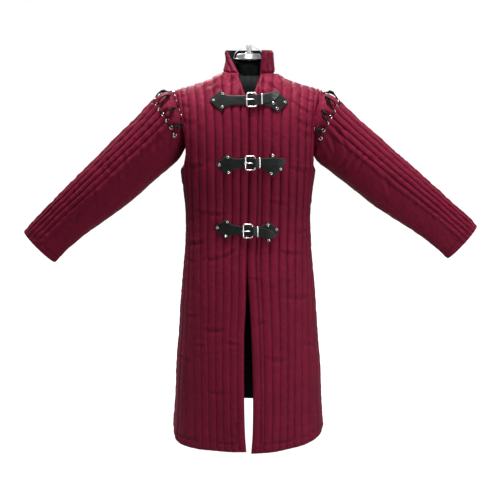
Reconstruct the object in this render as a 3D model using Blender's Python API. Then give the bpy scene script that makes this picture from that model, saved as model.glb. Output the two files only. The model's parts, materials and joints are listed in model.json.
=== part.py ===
"""Gambeson on a hanging shoulder form: quilted front, back, collar and laced-on sleeves, black lining,
three buckled leather closures, two shoulder laces, and the form that the coat hangs on.

Metres, +Z up, the front faces -Y. The origin is the top of the form's hanging post. "right" and "left"
in a name are the wearer's: the right side lies at -X.
"""
import math
from functools import lru_cache

import bpy
import numpy as np
from mathutils import Matrix, Vector
from mathutils.geometry import delaunay_2d_cdt

# Coat
COAT_X = -0.0025  # the coat hangs a little to the right of the post
PITCH = 0.0245  # width of a quilted channel
CHANNELS = 12  # channels from the middle to a side seam
STRAIGHT = 7  # channels of full width, beyond which the rest share what is left of the section
WALL = 0.004  # padded wall along a quilting line
RIB = 0.0045  # how far a channel swells past the quilting lines
EDGE_RIB = 0.35  # share of that swelling left at a seam or hem
LINING = 0.001
LINING_GAP = 0.0006  # between a panel's wall and its lining
GAP = 0.0003  # clearance between pieces that touch
SEAM = 0.0003  # half the clearance between two sewn panels

# Heights
CHEST_Z = -0.300  # the body's sections are level up to here, and close over the shoulders above it
RISE = 0.200  # length of the panels' own height coordinate from the chest to the shoulder seam
TOP = CHEST_Z + RISE
UNDERARM_Z = -0.345
V_BOTTOM_Z = -0.160
SHOULDER_Y = 0.005
SHOULDER_SPREAD = 1.085  # how far the channels fan out from the chest to the shoulder seam
SHOULDER_ROUNDNESS = 2.25

# Level sections through the body at the quilting lines: half width, depth in front of and behind
# the side seams, and the exponent of the rounded outline.
BODY = dict(
    z=(-1.175, -1.050, -0.940, -0.845, -0.750, -0.655, -0.590, -0.530, -0.470, -0.415, -0.355, -0.300),
    half=(0.2355, 0.2240, 0.2180, 0.2085, 0.2015, 0.1915, 0.1835, 0.1800, 0.1790, 0.1835, 0.1910, 0.1975),
    front=(0.172, 0.165, 0.157, 0.149, 0.141, 0.132, 0.124, 0.119, 0.117, 0.119, 0.122, 0.121),
    back=(0.168, 0.160, 0.152, 0.143, 0.133, 0.121, 0.112, 0.106, 0.105, 0.108, 0.114, 0.119),
    power=(2.30, 2.30, 2.35, 2.40, 2.40, 2.45, 2.50, 2.50, 2.55, 2.60, 2.65, 2.70),
)
SHOULDER = dict(
    x=(0.0, 0.040, 0.0767, 0.110, 0.140, 0.1685, 0.1973, 0.225),
    z=(-0.056, -0.064, -0.0800, -0.0990, -0.1095, -0.1180, -0.1260, -0.1380),
)
# World x of the two front edges, which meet at the chest and part into the riding slit.
FRONT_EDGES = dict(
    z=(-1.170, -1.110, -0.984, -0.812, -0.738, -0.600, -0.500, -0.320, -0.160),
    right=(-0.0073, -0.0115, -0.0138, -0.0135, -0.0094, -0.0062, -0.0033, -0.0003, 0.0002),
    left=(0.0065, 0.0105, 0.0114, 0.0064, 0.0024, -0.0054, -0.0027, 0.0003, 0.0008),
)
# Soft standing folds of the skirt: middle and half width in channels, depth at the hem, where it fades out.
SKIRT_FOLDS = dict(
    face=("front", "front", "front", "front", "back", "back", "back"),
    u=(-8.6, -4.0, 5.2, 9.4, -7.0, 0.5, 6.6),
    reach=(2.2, 2.6, 2.8, 2.0, 2.6, 3.0, 2.4),
    depth=(0.007, -0.004, -0.005, 0.006, 0.008, -0.007, 0.008),
    fade_z=(-0.62, -0.70, -0.66, -0.60, -0.62, -0.70, -0.62),
)
HEM = dict(  # hem heights by channel, of each front and of the back, which meets them at the side seams
    u=(0.0, 4.0, 8.0, 10.5, 12.0),
    front=dict(right=(-1.166, -1.169, -1.172, -1.166, -1.142), left=(-1.171, -1.168, -1.161, -1.140, -1.111)),
    back=dict(right=(-1.139, -1.141, -1.145, -1.145, -1.142), left=(-1.139, -1.138, -1.132, -1.122, -1.111)),
)

# Edge of an armhole from the shoulder seam down to the underarm: channels from the middle and height.
ARMHOLE_FRONT = dict(
    u=(11.0, 9.6, 8.8, 8.2, 7.9, 7.95, 8.65, 10.0, 12.0),
    v=(TOP, -0.183, -0.220, -0.254, -0.285, -0.305, -0.332, -0.343, UNDERARM_Z),
)
ARMHOLE_BACK = dict(
    u=(11.0, 10.2, 9.4, 8.75, 8.4, 8.5, 9.1, 10.3, 12.0),
    v=(TOP, -0.180, -0.220, -0.260, -0.300, -0.312, -0.334, -0.343, UNDERARM_Z),
)
ARMHOLE_WIDTH = dict(  # how deep each armhole is cut into the panels
    front=dict(right=1.0, left=0.83),
    back=dict(right=1.0, left=1.06),
)

# Grid of the panels: heights of the rows, and how many steps apart the plain inside keeps them
ROWS = [-1.09, -1.01, -0.93, -0.85, -0.77, -0.69, -0.61, -0.53, -0.45, -0.38, -0.33, -0.30]
ROWS += [CHEST_Z + RISE * share for share in (0.2, 0.4, 0.6, 0.8, 0.91)]
INNER_STEP = 2
INNER_ROWS = ROWS[:11:INNER_STEP] + ROWS[12:]
OUTER_SCALE, INNER_SCALE = 7.0, 28.0  # channels that a metre of height counts for, in filling a grid
NEAR = 0.12  # closest that two grid points may lie, in channels

# Neck and collar
NECK_HALF, NECK_DEPTH, NECK_X = 0.0740, 0.0610, 0.0020  # neck hole, from the coat's middle
COLLAR_BASE_X = dict(right=-0.031, left=0.034)  # world x where the collar's front ends meet the neckline
COLLAR_TOP_HALF, COLLAR_TOP_DEPTH = 0.0665, 0.0580
COLLAR_TOP_Z = -0.0165
COLLAR_TOP_OPEN = dict(right=78.0, left=36.0)  # degrees from the front to each front end's top
COLLAR_WALL = 0.0035
COLLAR_UP, COLLAR_IN = 0.0007, 0.0012  # how far the collar's foot is above the neck hole and inside it
COLLAR_CHANNELS = 16
COLLAR_ROWS = 3

# Sleeves: distance down the sleeve from its top corner, upper and lower outline from the line through it
SLEEVE = dict(
    a=(-0.05, 0.0, 0.09, 0.18, 0.27, 0.37, 0.43, 0.52, 0.58),
    top=(-0.0005, -0.002, -0.007, -0.009, -0.0105, -0.0125, -0.0145, -0.0165, -0.0180),
    bottom=(-0.181, -0.178, -0.174, -0.170, -0.167, -0.157, -0.148, -0.143, -0.1475),
    flatness=(0.88, 0.88, 0.86, 0.81, 0.74, 0.62, 0.54, 0.44, 0.38),  # depth over height of its section
)
SLEEVE_LENGTH = 0.570
SLEEVE_CORNER = dict(right=Vector((-0.2600, 0.0, -0.1390)), left=Vector((0.2470, 0.0, -0.1444)))
SLEEVE_SLOPE = dict(right=math.radians(42.5), left=math.radians(39.5))
SLEEVE_HEAD = dict(  # distance down the sleeve of its head's edge, by angle round the sleeve from its top
    angle=(0.0, 12.0, 35.0, 60.0, 90.0, 115.0, 150.0, 180.0),
    front=(0.0, -0.002, -0.019, -0.009, 0.010, 0.036, 0.054, 0.088),
    back=(0.0, -0.002, -0.018, -0.006, 0.012, 0.038, 0.056, 0.088),
)
SLEEVE_LACING = dict(angle=(0.0, 60.0, 90.0, 115.0), a=(0.0125, 0.0170, 0.0250, 0.0400))  # its row of eyelets
SLEEVE_CHANNELS = 6  # from the top line to each edge of the plain underarm panel
UNDERARM_COLUMNS = 8
SLEEVE_ROWS = 9
SLEEVE_INNER_ROWS = 5
SLEEVE_WALL = 0.004

# Laces: places of the eyelets they run through, from the front over the shoulder to the back
LACE_RADIUS = 0.0015
EYELET_INSET = 0.0125  # from the armhole's edge
LACE_SEAT = 0.0021  # lace axis above the cloth at an eyelet
LACE_LIFT = 0.0087  # lace axis above the quilting lines' level away from the eyelets
NEAR_HEAD = 0.5  # share of a sleeve's swelling left at its eyelets
LACE_CROSS = 0.0022  # each strand's distance from the middle of a crossing
LACE_BULGE = 0.003  # how far a crossing stands out of the line between the two edges
LACE_OVER = 0.0055  # how far past an edge it goes before it dips
EDGE_ROOM = 0.003  # its further height over the edge of a sleeve's head
BODY_EYELETS = dict(
    right=(0.27, 0.378, 0.448, 0.515, 0.597, 0.722, 0.90),
    left=(0.23, 0.33, 0.43, 0.515, 0.61, 0.74, 0.90),
)
SLEEVE_EYELETS = (107.0, 92.0, 78.0, 65.0, 52.0, 38.0, 14.0)

# Leather and metal of the closures
LEATHER = 0.0025
LEATHER_LIFT = 0.0014
STRAP_HALF = 0.0132
BAR = 0.0018
FRAME_HALF_WIDTH, FRAME_HALF_HEIGHT, FRAME_CORNER = 0.0130, 0.0190, 0.0050
KEEPER_WIDTH, KEEPER_THICKNESS = 0.0035, 0.0013
RIVET_RADIUS, RIVET_HEIGHT = 0.0046, 0.0024
PRONG_RADIUS = 0.0014
STRAP_REST = 0.0003  # strap's free end above the chape
CLOSURES = [
    dict(name="upper", tip=(-0.1056, -0.1524), buckle=(0.0070, -0.1508), far=(0.1059, -0.1572),
         end=(0.0806, -0.1371), keeper_x=0.0344,
         rivets=((-0.0947, -0.1529), (-0.0695, -0.1363), (-0.0711, -0.1696),
                 (0.0964, -0.1580), (0.0755, -0.1734), (0.0650, -0.1602))),
    dict(name="middle", tip=(-0.0888, -0.3225), buckle=(0.0035, -0.3175), far=(0.0950, -0.3302),
         end=(0.1000, -0.3148), keeper_x=0.0290,
         rivets=((-0.0804, -0.3233), (-0.0572, -0.3014), (-0.0553, -0.3431),
                 (0.0859, -0.3345), (0.0646, -0.2975), (0.0599, -0.3462))),
    dict(name="lower", tip=(-0.0945, -0.5017), buckle=(-0.0030, -0.5095), far=(0.0832, -0.5097),
         end=(0.0729, -0.5247), keeper_x=0.0235,
         rivets=((-0.0863, -0.5017), (-0.0591, -0.4837), (-0.0641, -0.5247),
                 (0.0760, -0.5060), (0.0520, -0.4917), (0.0544, -0.5362))),
]
PLATE = dict(  # arrow-shaped end of a strap: distance from its tip, half width above and below its axis
    along=(0.0, 0.0315, 0.0430, 0.0580),
    above=(0.0015, 0.0265, 0.0160, 0.0132),
    below=(0.0015, 0.0290, 0.0215, 0.0140),
)

# Form
FORM_GAP = 0.0006  # between the lining and the form at the shoulders
FORM_ROWS = dict(  # share of the way up to the shoulder seam, depth further inside than the lining
    t=(0.20, 0.40, 0.60, 0.80, 0.91, 0.97),
    depth=(0.030, 0.018, 0.010, 0.005, 0.0035, 0.0018),
)
NECK = dict(r=(0.043, 0.043, 0.040, 0.036), z=(-0.120, -0.080, -0.060, -0.0510))
CAP = dict(r=(0.0180, 0.0420, 0.0415, 0.0310, 0.0290), z=(-0.0507, -0.0410, -0.0385, -0.0250, -0.0238))
POST_RADIUS = 0.0080
WIRE_RADIUS = 0.0009
WIRE = dict(x=(0.0092, 0.0200, 0.0330, 0.0405, 0.0430), z=(-0.0045, -0.0095, -0.0180, -0.0265, -0.0390))

COLOURS = dict(
    cloth=((0.190, 0.012, 0.032), 0.62, 0.0),
    lining=((0.012, 0.011, 0.011), 0.85, 0.0),
    leather=((0.014, 0.013, 0.012), 0.42, 0.0),
    lace=((0.012, 0.011, 0.010), 0.60, 0.0),
    metal=((0.72, 0.71, 0.69), 0.25, 1.0),
    form=((0.018, 0.018, 0.019), 0.75, 0.0),
    cap=((0.42, 0.43, 0.44), 0.32, 1.0),
)
SIDES = dict(right=-1, left=1)


# Small tools
def curve_through(x, xs, ys):
    """The smooth curve through the points (xs, ys), read at x."""
    x = min(max(x, xs[0]), xs[-1])
    i = min(max(int(np.searchsorted(xs, x)) - 1, 0), len(xs) - 2)

    def slope(k):
        lo, hi = max(k - 1, 0), min(k + 1, len(xs) - 1)
        return (ys[hi] - ys[lo]) / (xs[hi] - xs[lo])

    h = xs[i + 1] - xs[i]
    t = (x - xs[i]) / h
    return (
        (1 + 2 * t) * (1 - t) ** 2 * ys[i]
        + t * (1 - t) ** 2 * h * slope(i)
        + t * t * (3 - 2 * t) * ys[i + 1]
        + t * t * (t - 1) * h * slope(i + 1)
    )


def blend(t):
    t = min(max(t, 0.0), 1.0)
    return t * t * (3 - 2 * t)


def material(name):
    if name not in bpy.data.materials:
        colour, roughness, metallic = COLOURS[name]
        made = bpy.data.materials.new(name)
        made.use_nodes = True
        shader = made.node_tree.nodes["Principled BSDF"]
        shader.inputs["Base Color"].default_value = (*colour, 1)
        shader.inputs["Roughness"].default_value = roughness
        shader.inputs["Metallic"].default_value = metallic
    return bpy.data.materials[name]


def add_object(name, data, finish):
    data.materials.append(material(finish))
    made = bpy.data.objects.new(name, data)
    bpy.context.scene.collection.objects.link(made)
    return made


def add_mesh(name, points, faces, finish):
    """A closed mesh, turned so that its faces point out."""
    corners = np.array([tuple(point) for point in points])
    volume = 0.0
    for face in faces:
        for i in range(1, len(face) - 1):
            volume += np.linalg.det(corners[[face[0], face[i], face[i + 1]]])
    if volume < 0:
        faces = [tuple(reversed(face)) for face in faces]
    mesh = bpy.data.meshes.new(name)
    mesh.from_pydata([tuple(point) for point in points], [], faces)
    mesh.shade_smooth()
    mesh.set_sharp_from_angle(angle=math.radians(50))
    return add_object(name, mesh, finish)


def add_tube(name, points, radius, finish, closed=False, resolution=2):
    data = bpy.data.curves.new(name, "CURVE")
    data.dimensions = "3D"
    data.bevel_depth = radius
    data.bevel_resolution = resolution
    data.use_fill_caps = not closed
    spline = data.splines.new("POLY")
    spline.points.add(len(points) - 1)
    for point, place in zip(spline.points, points):
        point.co = (*place, 1)
    spline.use_cyclic_u = closed
    return add_object(name, data, finish)


def add_turned(name, radii, heights, segments, finish):
    """A solid turned about Z from a profile that runs from its foot to its head, closed by flat ends."""
    points = [
        (r * math.cos(turn), r * math.sin(turn), z)
        for r, z in zip(radii, heights)
        for turn in (2 * math.pi * k / segments for k in range(segments))
    ]
    faces = [tuple(range(segments)), tuple(range(len(points) - segments, len(points)))[::-1]]
    for row in range(len(radii) - 1):
        for k in range(segments):
            a, b = row * segments + k, row * segments + (k + 1) % segments
            faces.append((b, a, a + segments, b + segments))
    return add_mesh(name, points, faces, finish)


def grid_faces(rows, columns, start, closed_rows=False):
    """Triangles between rows of points, each `columns` long; closed_rows joins a row's end to its start."""
    faces = []
    for row in range(rows - 1):
        for k in range(columns if closed_rows else columns - 1):
            a = start + row * columns + k
            b = start + row * columns + (k + 1) % columns
            faces += [(a, b, b + columns), (a, b + columns, a + columns)]
    return faces


# The body's surface
@lru_cache(maxsize=None)
def quarter(face, z):
    """One quarter of the level section at height z: x, depth and length along it from the middle."""
    half, depth, power = (curve_through(z, BODY["z"], BODY[key]) for key in ("half", face, "power"))
    turn = np.linspace(0, math.pi / 2, 121)
    x = half * np.sin(turn) ** (2 / power)
    y = depth * np.cos(turn) ** (2 / power)
    along = np.concatenate([[0], np.cumsum(np.hypot(np.diff(x), np.diff(y)))])
    return x, y, along


def edge_offset(side, z):
    """How far the front edge lies from the coat's middle, towards its own side."""
    x = curve_through(z, FRONT_EDGES["z"], FRONT_EDGES["right" if side < 0 else "left"])
    return side * (x - COAT_X)


def section_point(face, side, u, z):
    """x from the coat's middle and depth, u channels from the middle of a panel."""
    xs, ys, along = quarter(face, round(z, 6))
    start = edge_offset(side, z) if face == "front" else 0.0
    straight = STRAIGHT * PITCH
    if u <= STRAIGHT:
        reach = start + u * (straight - start) / STRAIGHT
    else:
        reach = straight + (u - STRAIGHT) / (CHANNELS - STRAIGHT) * (along[-1] - straight)
    x = math.copysign(float(np.interp(abs(reach), along, xs)), reach)
    return side * x, float(np.interp(abs(reach), along, ys))


@lru_cache(maxsize=None)
def surface(face, side, u, v):
    """World point of the quilting lines' level, u channels from the middle and at height coordinate v."""
    if u > CHANNELS:
        face, u = ("back" if face == "front" else "front"), 2 * CHANNELS - u
    if v > TOP:
        face, v = ("back" if face == "front" else "front"), 2 * TOP - v
    facing = -1 if face == "front" else 1
    x, depth = section_point(face, side, u, min(v, CHEST_Z))
    y = facing * depth
    z = v
    if v > CHEST_Z:
        t = (v - CHEST_Z) / RISE
        x *= 1 + (SHOULDER_SPREAD - 1) * blend(t)
        seam_z = curve_through(abs(x), SHOULDER["x"], SHOULDER["z"])
        z = CHEST_Z + (seam_z - CHEST_Z) * math.sin(t * math.pi / 2) ** (2 / SHOULDER_ROUNDNESS)
        y += (SHOULDER_Y - y) * (1 - math.cos(t * math.pi / 2) ** (2 / SHOULDER_ROUNDNESS))
    return Vector((COAT_X + x, y, z))


@lru_cache(maxsize=None)
def normal(face, side, u, v):
    across = surface(face, side, u + 0.06, v) - surface(face, side, u - 0.06, v)
    up = surface(face, side, u, v + 0.003) - surface(face, side, u, v - 0.003)
    out = across.cross(up).normalized()
    here = surface(face, side, u, v)
    inside = Vector((COAT_X + 0.5 * (here.x - COAT_X), 0, here.z - 0.05))
    return out if out.dot(here - inside) > 0 else -out


def fold_lift(face, side, u, v):
    lift = 0.0
    folds = zip(*(SKIRT_FOLDS[key] for key in ("face", "u", "reach", "depth", "fade_z")))
    for fold_face, middle, reach, depth, fade_z in folds:
        away = abs(side * u - middle) / reach
        if fold_face == face and away < 1:
            lift += depth * blend((fade_z - v) / 0.5) * math.cos(away * math.pi / 2) ** 2
    return lift


def body_point(face, side, u, v, lift):
    away = lift + fold_lift(face, side, u, v)
    return surface(face, side, u, v) + normal(face, side, u, v) * away


def rib(u):
    return RIB * abs(math.sin(math.pi * u)) ** 0.8


def locate(face, side, target, axes, guess):
    """The panel coordinates whose surface point has the target's values on two world axes."""
    u, v = guess
    for _ in range(30):
        here = surface(face, side, u, v)
        miss = [target[0] - here[axes[0]], target[1] - here[axes[1]]]
        by_u = (surface(face, side, u + 0.01, v) - here) / 0.01
        by_v = (surface(face, side, u, v + 0.0005) - here) / 0.0005
        table = np.array([[by_u[axes[0]], by_v[axes[0]]], [by_u[axes[1]], by_v[axes[1]]]])
        step = np.linalg.lstsq(table, np.array(miss), rcond=None)[0]
        u += float(np.clip(step[0], -0.5, 0.5))
        v = min(v + float(np.clip(step[1], -0.02, 0.02)), TOP - 0.0001)
    return u, v


# Outlines of the body's panels, in panel coordinates
def neck_plan(angle):
    """World x and y of the neck hole, by angle from the front towards +X."""
    x = COAT_X + NECK_X + NECK_HALF * math.sin(angle)
    return x, SHOULDER_Y - NECK_DEPTH * math.cos(angle)


def neck_place(angle):
    x, y = neck_plan(angle)
    face = "front" if y < SHOULDER_Y else "back"
    side = 1 if x > COAT_X else -1
    u, v = locate(face, side, (x, y), (0, 1), (abs(x - COAT_X) / PITCH, TOP - 0.04))
    return face, side, u, v


def collar_base_angle(side_name):
    return math.asin((COLLAR_BASE_X[side_name] - COAT_X - NECK_X) / NECK_HALF)


def seam_u(side):
    """Where the neck hole crosses the shoulder seam."""
    return (NECK_HALF + side * NECK_X) / SHOULDER_SPREAD / PITCH


def armhole_edge(face, side_name):
    table = ARMHOLE_FRONT if face == "front" else ARMHOLE_BACK
    width = ARMHOLE_WIDTH[face][side_name]
    return [(CHANNELS - (CHANNELS - u) * width, v) for u, v in zip(table["u"], table["v"])]


def front_outline(side_name):
    side = SIDES[side_name]
    rim = CHANNELS - SEAM / PITCH
    outline = [(min(u, rim), z) for u, z in zip(HEM["u"], HEM["front"][side_name])]
    edge = armhole_edge("front", side_name)
    edge[0] = (edge[0][0], TOP - SEAM)
    edge[-1] = (rim, UNDERARM_Z)
    outline += edge[::-1]
    outline.append((seam_u(side), TOP - SEAM))
    base = collar_base_angle(side_name)
    for share in (0.2, 0.4, 0.6, 0.8, 1.0):
        outline.append(neck_place(side * math.pi / 2 + (base - side * math.pi / 2) * share)[2:])
    x_top, z_top = COLLAR_BASE_X[side_name], surface("front", side, *outline[-1]).z
    x_low = curve_through(V_BOTTOM_Z, FRONT_EDGES["z"], FRONT_EDGES[side_name])
    for share in (0.25, 0.5, 0.75):
        target = (x_top + (x_low - x_top) * share, z_top + (V_BOTTOM_Z - z_top) * share)
        outline.append(locate("front", side, target, (0, 2), (0.5, -0.2)))
    outline.append((0.0, locate("front", side, (x_low, V_BOTTOM_Z), (0, 2), (0.1, -0.2))[1]))
    return outline


def back_outline():
    """Signed u: negative on the right side."""
    rim = CHANNELS - SEAM / PITCH
    halves = {}
    for side_name, side in SIDES.items():
        edge = armhole_edge("back", side_name)
        edge[0] = (edge[0][0], TOP - SEAM)
        edge[-1] = (rim, UNDERARM_Z)
        half = [(min(u, rim), z) for u, z in zip(HEM["u"], HEM["back"][side_name])][1:]
        half += edge[::-1]
        half.append((seam_u(side), TOP - SEAM))
        for share in (0.25, 0.5, 0.75):
            angle = side * math.pi * (0.5 + 0.5 * share)
            half.append(neck_place(angle)[2:])
        halves[side_name] = half
    low = (0.0, HEM["back"]["left"][0])
    nape = (0.0, neck_place(math.pi)[3])
    left = halves["left"]
    right = [(-u, v) for u, v in halves["right"]]
    return [low, *left, nape, *right[::-1]]


def cut_outline(outline, columns, rows):
    """The outline with a point wherever it crosses a column or a row of the grid."""
    cut = []
    for (u0, v0), (u1, v1) in zip(outline, outline[1:] + outline[:1]):
        crossings = []
        if abs(u1 - u0) > 1e-6:
            crossings += [(c - u0) / (u1 - u0) for c in columns]
        if abs(v1 - v0) > 1e-6:
            crossings += [(r - v0) / (v1 - v0) for r in rows]
        length = math.hypot(u1 - u0, (v1 - v0) * OUTER_SCALE)
        cut.append((u0, v0))
        last = 0.0
        for share in sorted(crossings):
            if last + NEAR / length < share < 1 - NEAR / length:
                cut.append((u0 + (u1 - u0) * share, v0 + (v1 - v0) * share))
                last = share
    return cut


def inside(point, outline):
    u, v = point
    found = False
    for (u0, v0), (u1, v1) in zip(outline, outline[1:] + outline[:1]):
        if (v0 > v) != (v1 > v) and u < u0 + (v - v0) / (v1 - v0) * (u1 - u0):
            found = not found
    return found


def distance_to(point, outline, scale):
    p = np.array((point[0], point[1] * scale))
    nearest = math.inf
    for a, b in zip(outline, outline[1:] + outline[:1]):
        a = np.array((a[0], a[1] * scale))
        b = np.array((b[0], b[1] * scale))
        share = np.clip(np.dot(p - a, b - a) / max(np.dot(b - a, b - a), 1e-12), 0, 1)
        nearest = min(nearest, float(np.linalg.norm(p - a - share * (b - a))))
    return nearest


def fill(border, columns, rows, scale):
    """Triangles over the border's inside, with grid points and with edges along the columns."""
    grid = {}
    points = list(border)
    for c in columns:
        for r in rows:
            if inside((c, r), border) and distance_to((c, r), border, scale) > NEAR:
                grid[c, r] = len(points)
                points.append((c, r))
    edges = []
    for c in columns:
        on_border = [i for i, (u, _) in enumerate(border) if abs(u - c) < 1e-9]
        chain = sorted(on_border + [i for (gc, _), i in grid.items() if gc == c], key=lambda i: points[i][1])
        for a, b in zip(chain, chain[1:]):
            low, high = points[a][1], points[b][1]
            steps = [low + (high - low) * share for share in (0.05, 0.35, 0.65, 0.95)]
            clear = all(inside((c, v), border) and distance_to((c, v), border, scale) > 0.01 for v in steps)
            if clear and (a >= len(border) or b >= len(border)):
                edges.append((a, b))
    flat = [Vector((u, v * scale)) for u, v in points]
    found = delaunay_2d_cdt(flat, edges, [list(range(len(border)))], 1, 1e-7)
    order = [originals[0] for originals in found[3]]
    return points, [tuple(order[i] for i in face) for face in found[2]]


def panel_solid(name, finish, border, outer, inner, place, levels):
    """A wall between an outer and an inner filling of one border. levels: outer and inner lift functions."""
    outer_points, outer_faces = outer
    inner_points, inner_faces = inner
    count = len(border)
    points = [place(u, v, levels[0](u, i < count)) for i, (u, v) in enumerate(outer_points)]
    points += [place(u, v, levels[1](u, i < count)) for i, (u, v) in enumerate(inner_points)]
    shift = len(outer_points)
    faces = list(outer_faces)
    faces += [tuple(shift + i for i in reversed(face)) for face in inner_faces]
    for i in range(count):
        k = (i + 1) % count
        faces.append((k, i, shift + i, shift + k))
    return add_mesh(name, points, faces, finish)


def quilted_level(u, at_edge):
    return rib(u) * (EDGE_RIB if at_edge else 1.0)


def flat_level(lift):
    return lambda u, at_edge: lift


def make_panel(name, outline, first, last, place):
    """A quilted panel and its lining, between the columns first and last."""
    columns = [k / 2 for k in range(2 * first, 2 * last + 1)]
    coarse = columns[:: 2 * INNER_STEP]
    border = cut_outline(outline, columns, ROWS)
    outer = fill(border, columns[1:-1], ROWS, OUTER_SCALE)
    inner = fill(border, coarse[1:-1], INNER_ROWS, INNER_SCALE)
    panel_solid(name, "cloth", border, outer, inner, place, (quilted_level, flat_level(-WALL)))
    top = -WALL - LINING_GAP
    levels = (flat_level(top), flat_level(top - LINING))
    panel_solid("lining_" + name, "lining", border, inner, inner, place, levels)


def make_body():
    for side_name, side in SIDES.items():
        def place(u, v, lift, side=side):
            return body_point("front", side, u, v, lift)
        make_panel("front_" + side_name, front_outline(side_name), 0, CHANNELS, place)

    def place_back(u, v, lift):
        return body_point("back", 1 if u >= 0 else -1, abs(u), v, lift)
    make_panel("back", back_outline(), -CHANNELS, CHANNELS, place_back)


# Collar
def collar_point(share, height, lift):
    """share 0..1 from the right front end round the nape to the left front end, height 0..1."""
    starts = {name: math.radians(COLLAR_TOP_OPEN[name]) for name in SIDES}
    low = collar_base_angle("right") - share * (
        2 * math.pi - collar_base_angle("left") + collar_base_angle("right")
    )
    high = -starts["right"] - share * (2 * math.pi - starts["left"] - starts["right"])
    face, side, u, v = neck_place((low + math.pi) % (2 * math.pi) - math.pi)
    out_low = Vector((math.sin(low), -math.cos(low), 0))
    x, y = neck_plan(low)
    base = Vector((x, y, body_point(face, side, u, v, quilted_level(u, True)).z + COLLAR_UP))
    base += out_low * (lift - COLLAR_IN - RIB * EDGE_RIB)
    top = Vector((
        COAT_X + NECK_X + (COLLAR_TOP_HALF + lift) * math.sin(high),
        SHOULDER_Y - (COLLAR_TOP_DEPTH + lift) * math.cos(high),
        COLLAR_TOP_Z,
    ))
    return base.lerp(top, height)


def make_collar():
    columns = 2 * COLLAR_CHANNELS + 1
    shares = [k / (columns - 1) for k in range(columns)]

    def band(name, finish, outer_lift, inner_lift, foot):
        points = []
        for lift in (outer_lift, inner_lift):
            for row in range(COLLAR_ROWS):
                height = foot + (1 - foot) * row / (COLLAR_ROWS - 1)
                at_edge = row in (0, COLLAR_ROWS - 1)
                points += [
                    collar_point(share, height, lift(share * COLLAR_CHANNELS, at_edge)) for share in shares
                ]
        size = COLLAR_ROWS * columns
        faces = grid_faces(COLLAR_ROWS, columns, 0)
        faces += [tuple(reversed(face)) for face in grid_faces(COLLAR_ROWS, columns, size)]
        rim = list(range(columns))
        rim += [row * columns + columns - 1 for row in range(1, COLLAR_ROWS)]
        rim += [size - 1 - k for k in range(1, columns)]
        rim += [row * columns for row in range(COLLAR_ROWS - 2, 0, -1)]
        for a, b in zip(rim, rim[1:] + rim[:1]):
            faces.append((b, a, a + size, b + size))
        add_mesh(name, points, faces, finish)

    band("collar", "cloth", quilted_level, flat_level(-COLLAR_WALL), 0.0)
    top = -COLLAR_WALL - GAP
    band("lining_collar", "lining", flat_level(top), flat_level(top - LINING), 0.0)


# Sleeves, each in its own frame: X down the sleeve, Z towards its upper side
def head_cut(angle):
    return curve_through(abs(angle), SLEEVE_HEAD["angle"], SLEEVE_HEAD["front" if angle >= 0 else "back"])


def sleeve_local(a, angle, lift):
    """angle in degrees round the sleeve: 0 on top, 90 in front, 180 below, -90 behind."""
    top = curve_through(a, SLEEVE["a"], SLEEVE["top"])
    bottom = curve_through(a, SLEEVE["a"], SLEEVE["bottom"])
    half = (top - bottom) / 2
    depth = half * curve_through(a, SLEEVE["a"], SLEEVE["flatness"])
    turn = math.radians(angle)
    out = Vector((0, -math.sin(turn) / depth, math.cos(turn) / half)).normalized()
    return Vector((a, -depth * math.sin(turn), (top + bottom) / 2 + half * math.cos(turn))) + out * lift


def sleeve_frame(side_name):
    side = SIDES[side_name]
    turn = Matrix.Rotation(side * SLEEVE_SLOPE[side_name], 4, "Y")
    return Matrix.Translation(SLEEVE_CORNER[side_name]) @ turn


def sleeve_point(side_name, a, angle, lift):
    local = sleeve_local(a, angle, lift)
    return sleeve_frame(side_name) @ Vector((SIDES[side_name] * local.x, local.y, local.z))


def sleeve_level(angle, at_edge):
    channel = abs(angle) / 90 * SLEEVE_CHANNELS
    return rib(channel) * (EDGE_RIB if at_edge else 1.0) if abs(angle) < 90 else 0.0


def make_sleeves():
    per_side = 2 * SLEEVE_CHANNELS
    angles = [90 * k / per_side for k in range(-per_side, per_side + 1)]
    angles += [90 + 180 * k / UNDERARM_COLUMNS for k in range(1, UNDERARM_COLUMNS)]
    angles = [angle if angle <= 180 else angle - 360 for angle in angles]
    count = len(angles)

    def tube(name, side_name, finish, outer_lift, outer_rows, inner_lift):
        side = SIDES[side_name]
        points = []
        for lift, rows in ((outer_lift, outer_rows), (inner_lift, SLEEVE_INNER_ROWS)):
            for row in range(rows + 1):
                for angle in angles:
                    start = head_cut(angle)
                    a = start + (SLEEVE_LENGTH - start) * row / rows
                    local = sleeve_local(a, angle, lift(angle, row in (0, rows)))
                    points.append((side * local.x, local.y, local.z))
        inner = (outer_rows + 1) * count
        faces = grid_faces(outer_rows + 1, count, 0, True)
        faces += [tuple(reversed(f)) for f in grid_faces(SLEEVE_INNER_ROWS + 1, count, inner, True)]
        for outer_row, inner_row in ((0, 0), (outer_rows, SLEEVE_INNER_ROWS)):
            for k in range(count):
                a, b = outer_row * count + k, outer_row * count + (k + 1) % count
                c, d = inner + inner_row * count + k, inner + inner_row * count + (k + 1) % count
                faces.append((b, a, c, d) if outer_row == 0 else (a, b, d, c))
        made = add_mesh(name, points, faces, finish)
        made.location = SLEEVE_CORNER[side_name]
        made.rotation_euler = (0, side * SLEEVE_SLOPE[side_name], 0)

    for side_name in SIDES:
        name = "sleeve_" + side_name
        tube(name, side_name, "cloth", sleeve_level, SLEEVE_ROWS, flat_level(-SLEEVE_WALL))
        top = -SLEEVE_WALL - GAP
        levels = flat_level(top), flat_level(top - LINING)
        tube("lining_" + name, side_name, "lining", levels[0], SLEEVE_INNER_ROWS, levels[1])


# Laces
def armhole_u(face, side_name, v):
    edge = armhole_edge(face, side_name)
    rising = sorted((height, u) for u, height in edge[:5])
    return curve_through(v, [height for height, _ in rising], [u for _, u in rising])


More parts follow.
